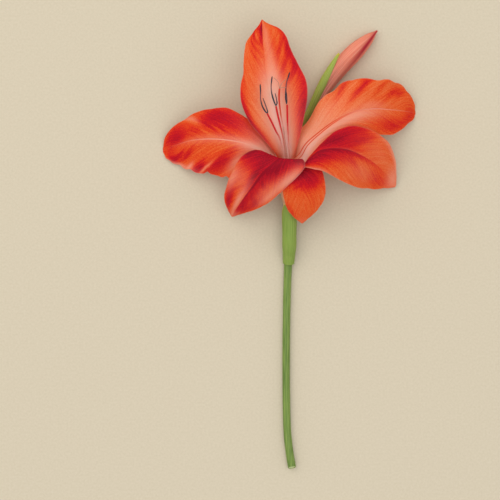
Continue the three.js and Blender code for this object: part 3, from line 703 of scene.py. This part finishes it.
def tepal_values(pigment, grid):
    """The numbers for each vertex of both faces: the washes, the distances to the margin and from the rib
    in mm, how far apart two red lines run beside the rib, where the veins are, and which face it is on.
    The veins of the two halves are read from places far apart, so that they don't mirror each other."""
    across = np.where(grid.v < 0, *HALVES_APART) + grid.vein_place
    numbers = {key: washed(grid, pigment.get(key, [])) for key in ("depth", "blush", "red_rib", "pale_rib")}
    numbers |= {
        "depth": numbers["depth"] + pigment["base"],
        "margin": np.minimum((1 - np.abs(grid.v)) * grid.width / 2, (1 - grid.u) * grid.length),
        "from_rib": grid.from_rib,
        "rib_gap": RED_LINES_GAP + RED_LINES_SPREAD * np.clip(1 - 2 * grid.u, 0, 1),
        "along_mm": grid.u * grid.length,
        "across_mm": across * grid.width.max() / 2,
    }
    shape = grid.sheet.shape[:2]
    values = {key: np.tile(np.broadcast_to(number, shape).ravel(), 2) for key, number in numbers.items()}
    values["outside"] = np.repeat([1.0, 0.0], shape[0] * shape[1])
    return values


colours = {name: tepal_values(PIGMENT[name], grid) for name, grid in grids.items()}
print("deepest pigment:", {name: round(float(values["depth"].max()), 2) for name, values in colours.items()})


# %% The material of the tepals
def petal_tissue():
    """Living petal: thin wet cells under a matt skin. Light goes a little way in, which warms the shadows.
    Long cells give it fine veins about 1 mm and 0.3 mm apart, which lean outwards from the midrib."""
    material, add, read = start_material(
        "petal_tissue", "depth", "blush", "red_rib", "pale_rib", "rib_gap", "from_rib", "along_mm",
        "across_mm", "margin", "outside")
    lines = add("CombineXYZ", {"X": read["along_mm"], "Y": read["across_mm"]})
    veins, hairs = pattern(add, (20, 1.0, 1), lines), pattern(add, (11, 0.33, 1), lines)
    # The real cells are some 0.04 mm across, too fine to show, so their grain is drawn at 0.6 mm.
    cells = pattern(add, [0.6 * MM] * 3, detail=1.0)
    total = unevenly(add, read["depth"], (veins, 0.36), (hairs, 0.28), (cells, 0.38))
    colour = add("ValToRGB", {"Fac": total}, stops=[
        (0.0, "#ECA386"), (0.24, "#E8804E"), (0.44, "#E45B24"), (0.58, "#DC3B1A"), (0.72, "#CB181D"),
        (0.88, "#B20E22"), (1.0, "#900A1E")])
    # Where blush runs past 1, near the claws, a paler pink is laid on: painted light over the shaded throat,
    # which is also paler of its own.
    pale = add("Math", {0: read["blush"], 1: 1.0}, operation="SUBTRACT", use_clamp=True)
    uneven = add("Math", {0: hairs, 1: 0.7, 2: 0.65}, operation="MULTIPLY_ADD")
    veil = add("Math", {0: read["blush"], 1: uneven}, operation="MULTIPLY", use_clamp=True)
    apart = add("Math", {0: read["from_rib"]}, operation="ABSOLUTE")
    beside = add("Math", {0: apart, 1: read["rib_gap"]}, operation="SUBTRACT")
    beside = add("Math", {0: beside}, operation="ABSOLUTE")
    # A Map Range node takes a value, the range that it comes from and the range that it goes to.
    on_rib, by_rib, at_rim = (add("MapRange", dict(enumerate(sockets))) for sockets in (
        (apart, 0.45, 0.12), (beside, 0.45, 0.1), (read["margin"], 0.5, 0.1, 0.0, 0.3)))
    colour = laid_over(add, colour, [
        (veil, 1.0, "#EFAA92"), (pale, 1.0, "#FCD6C8"), (on_rib, read["pale_rib"], "#EBA08A"),
        (by_rib, read["red_rib"], "#DC4419"), (at_rim, veins, "#F0A38C"), (read["outside"], 0.3, "#E58E70")])
    return end_material(material, colour, hairs, 0.05, roughness=0.6, gloss=0.1,
                        glow=(0.12, (1.0, 0.25, 0.12), 0.8))


petal = petal_tissue()
print(petal.name, "has", len(petal.node_tree.nodes), "nodes")

# %% Set the tepals
for name, grid in grids.items():
    set_piece(f"tepal_{name}", tepal_body(grid), petal, "tepal", **colours[name])

# %% [markdown]
# ## The tube
# The tube is thin and fluted where the tepals run down into it. Outside it is greenish cream at its foot
# and flushes salmon towards the throat, and inside it is pale. A sheet could be rolled up and given a
# thickness. One deep cup is used instead, up the outer wall, over the rim and down the inner wall to a
# floor, because that is closed from the start.

# %% The tube as one deep cup
TUBE_RADII = [2, 2.2, 3.2, 5.3, THROAT_RADIUS]
TUBE_FLOOR_AT = 0.06
TUBE_ROWS = 60
TUBE_SIDES = 96
FLUTES = 6
FLUTE_DEPTH = 0.05


def tube_wall(start, end, inset):
    """One face of the wall: a round section whose radius follows a short list, with six soft flutes that
    are deepest halfway up. Each flute is the fourth power of a wave, which makes it narrow."""
    t = np.linspace(start, end, TUBE_ROWS)
    angle = full_turn(TUBE_SIDES)
    flutes = 1 - FLUTE_DEPTH * np.sin(np.pi * t)[:, None]**2 * (0.5 + 0.5 * np.cos(FLUTES * angle))**4
    radius = (curve(TUBE_RADII, t)[:, None] - inset) * flutes
    return around(frames_along(tube_line, t), angle, radius), np.repeat(t, TUBE_SIDES)


def tube_tissue():
    """The same living tissue as the tepals, with less pigment, so that it looks waxy and pale."""
    material, add, read = start_material("perianth_tube_tissue", "height")
    # The cells are too fine to show, so their uneven colour is drawn in spots of 1.5 mm.
    cells = pattern(add, [1.5 * MM] * 3, detail=3.0)
    colour = add("ValToRGB", {"Fac": unevenly(add, read["height"], (cells, 0.3))}, stops=[
        (0.0, "#A9B36A"), (0.3, "#D8C08A"), (0.6, "#E8AE8A"), (0.85, "#EBA68C"), (1.0, "#F0A48E")])
    return end_material(material, colour, cells, 0.05, roughness=0.5, gloss=0.3,
                        glow=(0.25, (1.0, 0.5, 0.3), 1.5))


outer_wall, outer_height = tube_wall(0, 1, inset=0)
inner_wall, inner_height = tube_wall(1, TUBE_FLOOR_AT, inset=TUBE_WALL)
heights = np.concatenate([outer_height, inner_height, [0, TUBE_FLOOR_AT]])
cup = loft(np.concatenate([outer_wall, inner_wall]))
set_piece("perianth_tube", cup, tube_tissue(), "tube", height=heights)

# %% [markdown]
# ## Stamens and style
# Three filaments rise from the back wall of the throat. They are pale where they leave it and red above.
# Each ends in a slate-coloured anther of two sacs. The style comes up from the floor of the tube behind
# them and splits into three pale stigma branches. Curve objects with a bevel could draw such stalks. A rod
# of rings gives the same, and its radius can swell and its ends close as the real ones do.


# %% Round bodies along a line
END_RING = 0.02


def rod(points, radii, rows, sides, round_ends=0.0):
    """A round body along the line through points, with its radius from a short list. Its last stretches, a
    share round_ends of its length, are drawn in on a quarter circle. The second array is how far along
    each vertex is."""
    t = np.linspace(0, 1, rows)
    radius = curve(radii, t)
    if round_ends:
        to_end = np.clip(np.minimum(t, 1 - t) / round_ends, 0, 1)
        radius = radius * np.sqrt(np.clip(1 - (1 - to_end)**2, END_RING, 1))
    body = loft(around(frames_along(points, t), full_turn(sides), radius[:, None]))
    return body, np.concatenate([np.repeat(t, sides), [0, 1]])


def merge(*bodies):
    """Several bodies as the one set of arrays that a piece takes."""
    vertices, faces, spots, start = [], [], [], 0
    for body_vertices, body_faces, body_spots in bodies:
        vertices.append(body_vertices)
        faces += [[corner + start for corner in face] for face in body_faces]
        spots.append(body_spots)
        start += len(body_vertices)
    return np.concatenate(vertices), faces, np.concatenate(spots)


def stalk_tissue():
    """Soft living stalk: moist, so it has a little gloss. Its ramp holds three stalks one after another.
    Up to 0.5 a filament goes from a pale foot to red, from 0.9 back to 0.58 the style does, and past that
    are the branches of the stigma, which are dry and dull."""
    material, add, read = start_material("stamen_stalk_tissue", "tone")
    # The cells are too fine to show, so their grain is drawn at 0.8 mm.
    cells = pattern(add, [0.8 * MM] * 3)
    colour = add("ValToRGB", {"Fac": unevenly(add, read["tone"], (cells, 0.1))}, stops=[
        (0.15, "#E2A08C"), (0.24, "#D6685A"), (0.33, "#D01420"), (0.5, "#CC181C"), (0.58, "#D03416"),
        (0.72, "#D25434"), (0.88, "#DC9484"), (0.96, "#B0806A")])
    return end_material(material, colour, cells, 0.03, roughness=0.45, gloss=0.3,
                        glow=(0.1, (1.0, 0.4, 0.3), 0.5))


stalk = stalk_tissue()
print("the stalks share the material", stalk.name)

# %% Where the filaments and anthers lie
FILAMENT_RADII = [0.4, 0.38, 0.44, 0.52, 0.48]
FILAMENT_TONE = 0.5
FOOT_AT = 0.8
FOOT_SPREAD = 24
SEAT_GAP = 0.05
STAMENS = {
    "left": {"foot": 180 - FOOT_SPREAD, "line": [
        (-1.2, 5.6, 21.5), (-3.4, 16.8, 27), (-5.6, 21.3, 29.5), (-7.8, 25.9, 31.5), (-10.6, 31.3, 33.4),
    ], "sacs": [
        [(-10.8, 31.3, 33.6), (-12.3, 33.4, 34), (-13.6, 36.2, 34.6), (-14.3, 39.8, 35), (-14.3, 43.6, 35.2),
         (-14.5, 47.6, 35.2)],
        [(-10.8, 31.3, 33.6), (-10.4, 32.4, 34.1), (-11.6, 36, 35.2), (-13, 39.8, 36)],
    ]},
    "middle": {"foot": 180, "line": [
        (0.1, 5.6, 19.4), (-1.5, 16.8, 25.6), (-3.4, 25.2, 29), (-4.9, 31.4, 30.9), (-5.7, 35.3, 32.1),
    ], "sacs": [
        [(-5.8, 35.5, 32.4), (-7, 38.6, 33.2), (-8, 42.2, 33.8), (-8.4, 45.8, 34.1), (-8.2, 48.8, 34.2),
         (-7.8, 51.9, 34.2)],
        [(-5.8, 35.5, 32.4), (-5.1, 37, 33.2), (-5.5, 39.6, 34), (-6.2, 42.4, 34.6)],
    ]},
    "right": {"foot": 180 + FOOT_SPREAD, "line": [
        (2, 5.6, 21), (1.3, 16.8, 27), (0.8, 25.2, 30), (0.6, 31.9, 32), (0.5, 36.1, 33.1),
    ], "sacs": [
        [(0.2, 36.4, 33.4), (-0.3, 39.9, 33.8), (-0.2, 43.8, 34), (0.1, 48, 34), (1.1, 51.4, 34),
         (2, 54.2, 34)],
        [(0.2, 36.4, 33.4), (0.3, 37.9, 34.2), (0.3, 40.3, 34.5), (0.1, 43.1, 34.6)],
    ]},
}
SAC_RADII = [[0.32, 0.4, 0.36, 0.26, 0.34, 0.36], [0.3, 0.34, 0.28, 0.22]]


def wall_foot(degrees):
    """The point just inside the wall of the tube where a filament stands."""
    t = np.array([FOOT_AT])
    inside = curve(TUBE_RADII, t) - TUBE_WALL - SEAT_GAP - FILAMENT_RADII[0]
    return around(frames_along(tube_line, t), np.radians([[degrees]]), inside[:, None])[0, 0]


print("the first filament stands at", wall_foot(STAMENS["left"]["foot"]).round(1))


# %% Set the filaments and anthers
def pollen_sac():
    """The skin of ripe anthers: slate blue and dry, with paler seams where pollen shows, and reddish in
    places."""
    material, add, _ = start_material("pollen_sac_skin")
    spots = add("UVMap", uv_map="spots")
    along, turned = (add("SeparateXYZ", {"Vector": spots}, output=axis) for axis in "XY")
    turned = add("Math", {0: turned, 1: 4 * math.pi}, operation="MULTIPLY")
    seam = add("Math", {0: turned}, operation="COSINE")
    # Real pollen is some 0.07 mm across, too fine to show, so its grains are drawn at 0.25 mm.
    grains = pattern(add, [0.25 * MM] * 3)
    total = add("Math", {0: seam, 1: 0.12, 2: grains}, operation="MULTIPLY_ADD")
    colour = add("ValToRGB", {"Fac": total}, stops=[(0.35, "#10161F"), (0.55, "#1E2A36"), (0.75, "#3C4854")])
    redder = add("ValToRGB", {"Fac": along}, stops=[
        (0.4, "#000000"), (0.52, "#9A9A9A"), (0.7, "#9A9A9A"), (0.82, "#000000")])
    colour = laid_over(add, colour, [(redder, 1.0, "#9E5C5E")])
    return end_material(material, colour, grains, 0.06, roughness=0.75, gloss=0.3)


sac = pollen_sac()
for name, stamen in STAMENS.items():
    line = [wall_foot(stamen["foot"]), *stamen["line"]]
    body, along = rod(line, FILAMENT_RADII, rows=60, sides=16)
    set_piece(f"filament_{name}", body, stalk, "filament", tone=FILAMENT_TONE * along)
    sacs = [rod(points, radii, rows=40, sides=16, round_ends=0.08)[0]
            for points, radii in zip(stamen["sacs"], SAC_RADII)]
    set_piece(f"anther_{name}", merge(*sacs), sac, "anther")

# %% The style and its branches
STYLE_LINE = [
    (1, -18, 10.8), (0.3, -5.6, 17), (0.4, 5.6, 23), (-0.7, 16.8, 27.7), (-2, 25.2, 30.9), (-3.2, 32, 32.8),
    (-4, 39.8, 34.5), (-3.7, 45.1, 35),
]
STYLE_RADII = [0.5, 0.42, 0.4, 0.42, 0.52]
STYLE_FOOT_AT = 0.067
STYLE_FADES_AT = (0.59, 0.826)
STYLE_TONES = (0.92, 0.58)
STIGMAS = [
    [(-3.7, 45, 35), (-2.4, 48, 35.7), (0.1, 50.4, 36.4)],
    [(-3.7, 45, 35), (-2.2, 45.6, 36), (0.1, 45.5, 36.9)],
    [(-3.7, 45, 35), (-4.6, 48.6, 35.3), (-7, 51.1, 36.2)],
]
STIGMA_RADII = [0.2, 0.13, 0.14]
STIGMA_TONE = 1.1
style_foot = tube_line(np.array([STYLE_FOOT_AT]))[0]
column, along = rod([style_foot, *STYLE_LINE], STYLE_RADII, rows=120, sides=16, round_ends=0.01)
branches = [rod(points, STIGMA_RADII, rows=24, sides=12, round_ends=0.08)[0] for points in STIGMAS]
tones = [np.interp(along, STYLE_FADES_AT, STYLE_TONES),
         *(np.full(len(branch[0]), STIGMA_TONE) for branch in branches)]
set_piece("style", merge(column, *branches), stalk, "style", tone=np.concatenate(tones))

# %% [markdown]
# ## Bracts
# Each floret sits in two green bracts: an outer one that wraps the stem side and a smaller one inside it.
# A bract is a stiff leaf with many fine parallel veins and a thin, paler, papery rim. It could be cut out
# of a tube. Here it is a sheet that bends round a line and spans a smaller angle towards its tip, so its
# margins run as clean lines of the grid.

# %% Where the bracts lie
BUD_FOOT_LINE = [(7.6, 18.4, 5), (10.1, 24.1, 6), (14.6, 31.9, 6.4), (19, 40.3, 6.4), (24.6, 49.3, 5.8)]
# The bracts of the bloom have 1 for the painted shade that the bloom casts on them, which makes them darker
# green; the bracts of the bud have 0.
BRACTS = {
    "bloom_outer_bract": {
        "line": [(1.6, -52, 2.4), (1.8, -47, 4.6), (2, -42, 7.8), (2, -36, 9.2), (2, -30, 9.5),
                 (1.9, -24, 10), (1.6, -18.5, 11.4), (1.3, -14, 13.4)],
        "radii": [3.2, 3.5, 3.9, 3.9, 4.1, 4.5, 5.1, 5.8],
        "half_angles": [80, 92, 96, 92, 84, 66, 36, 5],
        "facings": [0, 0],
        "shade_under_bloom": 1.0,
    },
    "bloom_inner_bract": {
        "line": [(1.9, -45.4, 7.2), (2, -41.8, 8.7), (2, -36, 9.4), (2, -30, 9.5), (1.9, -25, 9.9),
                 (1.7, -20.5, 10.9)],
        "radii": [1.85, 2.75, 2.8, 3, 3.5, 4.1],
        "half_angles": [45, 60, 66, 60, 40, 5],
        "facings": [180, 180],
        "shade_under_bloom": 1.0,
    },
    "bud_outer_bract": {
        "line": [(5.2, 12.6, 1.8), *BUD_FOOT_LINE, (31.9, 58.8, 5.2), (34.6, 61.8, 5)],
        "radii": [2.35, 2.5, 2.9, 3.4, 4.2, 5.5, 6.5, 6.6],
        "edge_radii": [2.2, 2.3, 2.6, 2.9, 3.3, 4.0, 5.0, 5.3],
        "free_from": 62,
        "half_angles": [75, 85, 82, 74, 66, 54, 20, 1],
        "facings": [15, 40, 58, 62, 66, 72, 80, 88],
        "shade_under_bloom": 0.0,
    },
    "bud_inner_bract": {
        "line": BUD_FOOT_LINE,
        "radii": [2.4, 2.8, 3.15, 3.6, 4.35],
        "half_angles": [40, 46, 42, 28, 5],
        "facings": [-160, -140],
        "shade_under_bloom": 0.0,
    },
}
print(f"{len(BRACTS)} bracts")

# %% Bracts wrap round a line
BRACT_ROWS = 120
BRACT_COLUMNS = 61
BRACT_MIDDLE = 0.42
BRACT_MARGIN = 0.16
BRACT_TAPER = 0.6
BRACT_VEINS = 9
BRACT_VEIN_HEIGHT = 0.05
BRACT_RIM = 0.9
RIM_DRYNESS = 0.8
RIM_AT_FOOT = 0.3
FREE_AT_FOOT = 0.35
FREE_SLIDE = 14
FREE_FADE = 12
BUD_SHADOW_FADE = 1.2


def bract_body(bract):
    """A sheet round a line, how dry it is, and where it is painted in shade. At each place the radius, the
    angle that it spans and the way that it faces follow short lists. Its edges may lie closer than its
    middle, with a smooth keel between. Fine veins stand up along it, and it thins towards its margins and
    its tip. It dries in a narrow rim, or on the bract that wraps the bud from where it stands free. The
    margin that lies against the bud counts below 0 towards the foot, a painted shadow where bract and bud
    meet, and the bracts of the bloom carry a painted shade from the bloom above them."""
    t = np.linspace(0, 1, BRACT_ROWS)
    v = np.linspace(1, -1, BRACT_COLUMNS)[None, :]
    middle, half_angle, facing = (curve(bract[key], t)[:, None]
                                  for key in ("radii", "half_angles", "facings"))
    edge = curve(bract.get("edge_radii", bract["radii"]), t)[:, None]
    frames, t = frames_along(bract["line"], t), t[:, None]
    radius = edge + (middle - edge) * (1 - v**2)
    ribs = BRACT_VEIN_HEIGHT * np.cos(np.pi * BRACT_VEINS * v) * (1 - v**4) * np.sin(np.pi * t)
    degrees = facing + v * half_angle
    firm = BRACT_MIDDLE - (BRACT_MIDDLE - BRACT_MARGIN) * np.abs(v)**3
    body = blade(around(frames, np.radians(degrees), radius + ribs), firm * (1 - BRACT_TAPER * t**4))
    margin = (1 - np.abs(v)) * np.radians(half_angle) * radius
    rim = RIM_DRYNESS * np.clip(1 - margin / BRACT_RIM, 0, 1) * (RIM_AT_FOOT + (1 - RIM_AT_FOOT) * t)
    if "free_from" in bract:
        past = degrees - bract["free_from"] - FREE_SLIDE * t**3
        free = np.clip(past / FREE_FADE, 0, 1) * (FREE_AT_FOOT + (1 - FREE_AT_FOOT) * t)
        # The margin that lies against the bud drops below 0 towards the foot: a painted shadow where bract
        # and bud meet.
        rim = free - np.clip(1 - (1 + v) * BUD_SHADOW_FADE, 0, 1) * (1 - t)
    return body, {"rim": np.tile(rim.ravel(), 2), "shade_under_bloom": np.full(len(body[0]), bract["shade_under_bloom"])}


bodies = {name: bract_body(bract) for name, bract in BRACTS.items()}
print("mm high:", {name: round(float(np.ptp(body[0][:, 2])), 1) for name, (body, _) in bodies.items()})

# %% Set the bracts
BRACT_LENGTH = 50
BRACT_WIDTH = 13


def bract_leaf():
    """Leaf: smooth and waxy, mid green with yellower veins 0.33 mm apart and some 17 mm long. The bracts of
    the bloom are painted a darker green, which stands for the shade that the bloom casts on them. Its dry
    rim is yellow where it is free, and along the margin beside the bud it is painted dark brown-green as the
    shadow there."""
    material, add, read = start_material("bract_leaf", "rim", "shade_under_bloom")
    spots = add("UVMap", uv_map="spots")
    veins = pattern(add, (17 / BRACT_LENGTH, 0.33 / BRACT_WIDTH, 1), spots, detail=3.0)
    colour = add("ValToRGB", {"Fac": veins}, stops=[(0.3, "#869C3A"), (0.5, "#A2B44C"), (0.7, "#BCC666")])
    # Bracts under the bloom get a darker green, a painted shade from the bloom. A rim above 0 is a dry
    # yellow rim; below 0, along the margin beside the bud, it is a painted shadow in dark brown-green.
    colour = laid_over(add, colour, [
        (read["shade_under_bloom"], 0.55, "#63803A"), (read["rim"], 1.0, "#C9B740"), (read["rim"], -1.0, "#4A4A22")])
    return end_material(material, colour, veins, 0.08, roughness=0.5, gloss=0.3, ior=1.42,
                        glow=(0.1, (0.5, 1.0, 0.2), 0.8))


leaf = bract_leaf()
for name, (body, values) in bodies.items():
    set_piece(name, body, leaf, "bract", **values)

# %% [markdown]
# ## The bud
# The bud is six tepals rolled round each other. It is salmon, browner at its foot, and beside one lap a deep
# red band lies in the hollow, partly its own red and partly painted shade. Each tepal could be a sheet of
# its own, wound up with the others. Only their outer faces show, and the edges where one laps over the next,
# which climb round it in a slow spiral. So one body is enough, with a radius that steps down at each edge,
# and nothing is hidden inside.

# %% The bud as a rolled spindle
BUD_LINE = [*BUD_FOOT_LINE, (31.4, 59.1, 5), (39.4, 67.5, 4.9), (46.3, 74.0, 4), (51.6, 78.9, 2.4)]
BUD_RADII = [1.6, 2, 2.3, 2.7, 3.5, 4.8, 4.9, 3.2, 0.5]
BUD_LAPS = 3
BUD_TURNS = -1.0
BUD_LAP_START = 1.25
BUD_LAP_DEPTH = 0.1
BUD_LAP_EDGE = 0.93
BUD_LAP_LEVEL = 0.6
RED_EDGE_AT = 0.16
RED_EDGE_WIDTH = 0.2
RED_FROM = 0.5
RED_FADE = 0.3
BUD_ROWS = 170
BUD_SIDES = 150


def bud_body():
    """A round body whose radius swells over each lap and drops at its edge. The laps turn as they climb,
    and what would lie below the board is flattened. The second array says where on a lap each vertex lies,
    and the third how near it is to the one red edge: a bell curve across that edge, which fades in along
    the bud."""
    t = np.linspace(0, 1, BUD_ROWS)
    angle = full_turn(BUD_SIDES)
    frames, t = frames_along(BUD_LINE, t), t[:, None]
    turned = BUD_LAPS * angle / (2 * np.pi) + BUD_TURNS * t + BUD_LAP_START
    phase = turned % 1
    lap = np.where(phase < BUD_LAP_EDGE, phase / BUD_LAP_EDGE, (1 - phase) / (1 - BUD_LAP_EDGE))
    depth = BUD_LAP_DEPTH * np.sin(np.pi * t)**0.5
    rings = around(frames, angle, curve(BUD_RADII, t[:, 0])[:, None] * (1 + depth * (lap - BUD_LAP_LEVEL)))
    rings[..., 2] = np.maximum(rings[..., 2], 0.0)
    from_edge = (turned + BUD_LAPS / 2) % BUD_LAPS - BUD_LAPS / 2
    red = np.exp(-((from_edge - RED_EDGE_AT) / RED_EDGE_WIDTH)**2) * np.clip((t - RED_FROM) / RED_FADE, 0, 1)
    return loft(rings), np.concatenate([phase.ravel(), [0.5, 0.5]]), np.concatenate([red.ravel(), [0, 1]])


body, laps, reds = bud_body()
print(f"the bud is {np.ptp(body[0][:, 2]):.1f} mm thick")

# %% Set the bud
BUD_LENGTH = 70
BUD_GIRTH = 28


def furled_petal():
    """The outside of rolled tepals: the petal's own tissue, with its pigment thin where it was covered. It
    is pink with veins 0.64 mm apart and some 23 mm long, and browner towards its foot. Just past each lap
    edge, where the lap above overhangs it, it is painted darker as shade, and beside one lap a deep red band
    is partly its own red and partly painted shade in that hollow."""
    material, add, read = start_material("furled_petal_tissue", "lap", "red")
    spots = add("UVMap", uv_map="spots")
    along = add("SeparateXYZ", {"Vector": spots}, output="X")
    veins = pattern(add, (23 / BUD_LENGTH, 0.64 / BUD_GIRTH, 1), spots, detail=3.0)
    colour = add("ValToRGB", {"Fac": veins}, stops=[(0.3, "#DC745C"), (0.5, "#E6866A"), (0.7, "#EE9E84")])
    brown = add("ValToRGB", {"Fac": veins}, stops=[
        (0.35, "#A4705E"), (0.5, "#CA8470"), (0.65, "#DE9E8A")])
    foot, tip, edge = (add("MapRange", dict(enumerate(sockets))) for sockets in (
        (along, 0.45, 0.7, 0.85, 0.0), (along, 0.9, 1.0, 0.0, 0.6), (read["lap"], 0.0, 0.2, 0.35, 0.0)))
    # Just past each lap edge, where the lap above overhangs, the colour goes darker: a painted shade. The
    # red band beside one lap is the bud's own red with painted shade in that hollow.
    colour = laid_over(add, colour, [
        (foot, 1.0, brown), (tip, 1.0, "#A8343A"), (edge, 1.0, "#B8483E"), (read["red"], 1.0, "#A81A2C")])
    return end_material(material, colour, veins, 0.06, roughness=0.55, gloss=0.25,
                        glow=(0.15, (1.0, 0.3, 0.15), 1.0))


set_piece("bud", body, furled_petal(), "bud", lap=laps, red=reds)

# %% [markdown]
# ## The stem
# The stem is a firm green stalk, a little over 4 mm thick, with faint ribs. It lies on its underside and
# was cut at a slant, so its end shows the pale pith with its green rind. A cylinder bent by a curve
# modifier would turn its ribs as it bends. Rings set along a level line keep them straight, and let the
# underside lie flat.

# %% The stem, its flat underside and its cut
STEM_LINE = [
    (3.5, -167.2), (2, -157.9), (0.8, -145.6), (0.3, -123.2), (0.3, -95.2), (0.8, -67.2), (1.6, -44.8),
    (1.7, -25.2), (1.7, -8.4), (3, 4), (5.6, 13.6),
]
STEM_RADII = [2.3, 2.25, 2.2, 2.15, 2.15, 2.2, 2.35, 1.9, 1.8, 1.7, 1.65]
STEM_FLAT = math.cos(math.pi / 12)
STEM_RIBS = 11
STEM_RIB_HEIGHT = 0.05
STEM_SWELLS = 9
STEM_SWELL_HEIGHT = 0.04
STEM_INSET = 0.06
CUT_SLOPE = 0.45
CUT_RINGS = [0.1, 0.35, 0.6, 0.8, 0.92, 0.97]
STEM_ROWS = 420
STEM_SIDES = 66


def stem_body():
    """A round body along a level line. Its ribs are a small wave round it, and what would lie below the
    board is flattened, as a soft stalk does under its own weight. The first rings are the cut face: they
    shrink to its middle, on the plane of the cut."""
    t = np.linspace(0, 1, STEM_ROWS)
    angle = full_turn(STEM_SIDES)
    radius = curve(STEM_RADII, t)[:, None]
    swells = STEM_SWELL_HEIGHT * wobble(STEM_SWELLS * t, seed=5)[:, None]
    ribs = STEM_RIB_HEIGHT * np.cos(STEM_RIBS * angle) + swells
    frames = frames_along([(x, y, 0.0) for x, y in STEM_LINE], t)
    frames[0][:, 2] = radius[:, 0] * STEM_FLAT
    rings = around(frames, angle, radius - STEM_INSET + ribs)
    rings[0, :, 1] += CUT_SLOPE * (rings[0, :, 2] - radius[0])
    rings[..., 2] = np.maximum(rings[..., 2], 0.0)
    middle = rings[0].mean(0)
    shares = np.array(CUT_RINGS)[:, None, None]
    face = middle + (rings[0] - middle) * shares
    pith = np.concatenate([np.repeat(CUT_RINGS, STEM_SIDES), np.ones(rings[..., 0].size), [0, 1]])
    cut = np.concatenate([np.ones(face[..., 0].size), np.zeros(rings[..., 0].size), [1, 0]])
    return loft(np.concatenate([face, rings])), {"from_pith": pith, "cut": cut}


body, values = stem_body()
print(f"the stem is {np.ptp(body[0][:, 1]):.0f} mm long")


# %% Set the stem
def stem_rind():
    """The skin of a fresh stalk: waxy green with pale and dark streaks about 0.5 mm wide and 17 mm long.
    The cut shows a wet pith with a darker ring of vessels."""
    material, add, read = start_material("stem_rind", "from_pith", "cut")
    fibres = pattern(add, (0.5 * MM, 17 * MM, 0.5 * MM), detail=3.0)
    rind = add("ValToRGB", {"Fac": fibres}, stops=[(0.3, "#58722F"), (0.5, "#728A3E"), (0.7, "#8CA04F")])
    flesh = add("ValToRGB", {"Fac": read["from_pith"]}, stops=[
        (0.1, "#D5DDAA"), (0.6, "#C6D290"), (0.85, "#8FA653"), (1.0, "#5E7A34")])
    colour = laid_over(add, rind, [(read["cut"], 1.0, flesh)])
    return end_material(material, colour, fibres, 0.08, roughness=0.45, gloss=0.35, ior=1.42,
                        glow=(0.1, (0.5, 1.0, 0.2), 1.0))


rind = stem_rind()
set_piece("stem", body, rind, "stem", **values)

# %% [markdown]
# ## The ovaries
# The ovaries join the florets to the stem, hidden between the bracts. They are small green swellings of
# the same tissue as the stem, so they are plain rods with its rind, and no finer work would be seen.

# %% Two small swellings
OVARIES = {
    "ovary": ([(1.8, -47.6, 5.7), (1.9, -45.3, 7.3), (2, -41.8, 8.7), (2, -38.75, 9.4)],
              [0.9, 1.25, 2, 1.9]),
    "bud_ovary": ([(5.9, 14.5, 2.1), (6.3, 15.5, 2.9), (6.9, 16.8, 3.9), (7.25, 17.6, 4.5)],
                  [1, 1.3, 1.4, 1.3]),
}
for name, (points, radii) in OVARIES.items():
    body, _ = rod(points, radii, rows=40, sides=32)
    plain = np.ones(len(body[0]))
    set_piece(name, body, rind, "stem", from_pith=plain, cut=0 * plain)

# %% [markdown]
# ## Measure and finish
# The visible flower has to keep the size of its solids.

# %% Print both boxes and finish
low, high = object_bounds()
boxes = {"cad": [list(cad_low), list(cad_high)], "visual": [list(low), list(high)]}
for key, box in boxes.items():
    print(key, "box in mm", [[round(x / MM, 2) for x in corner] for corner in box])
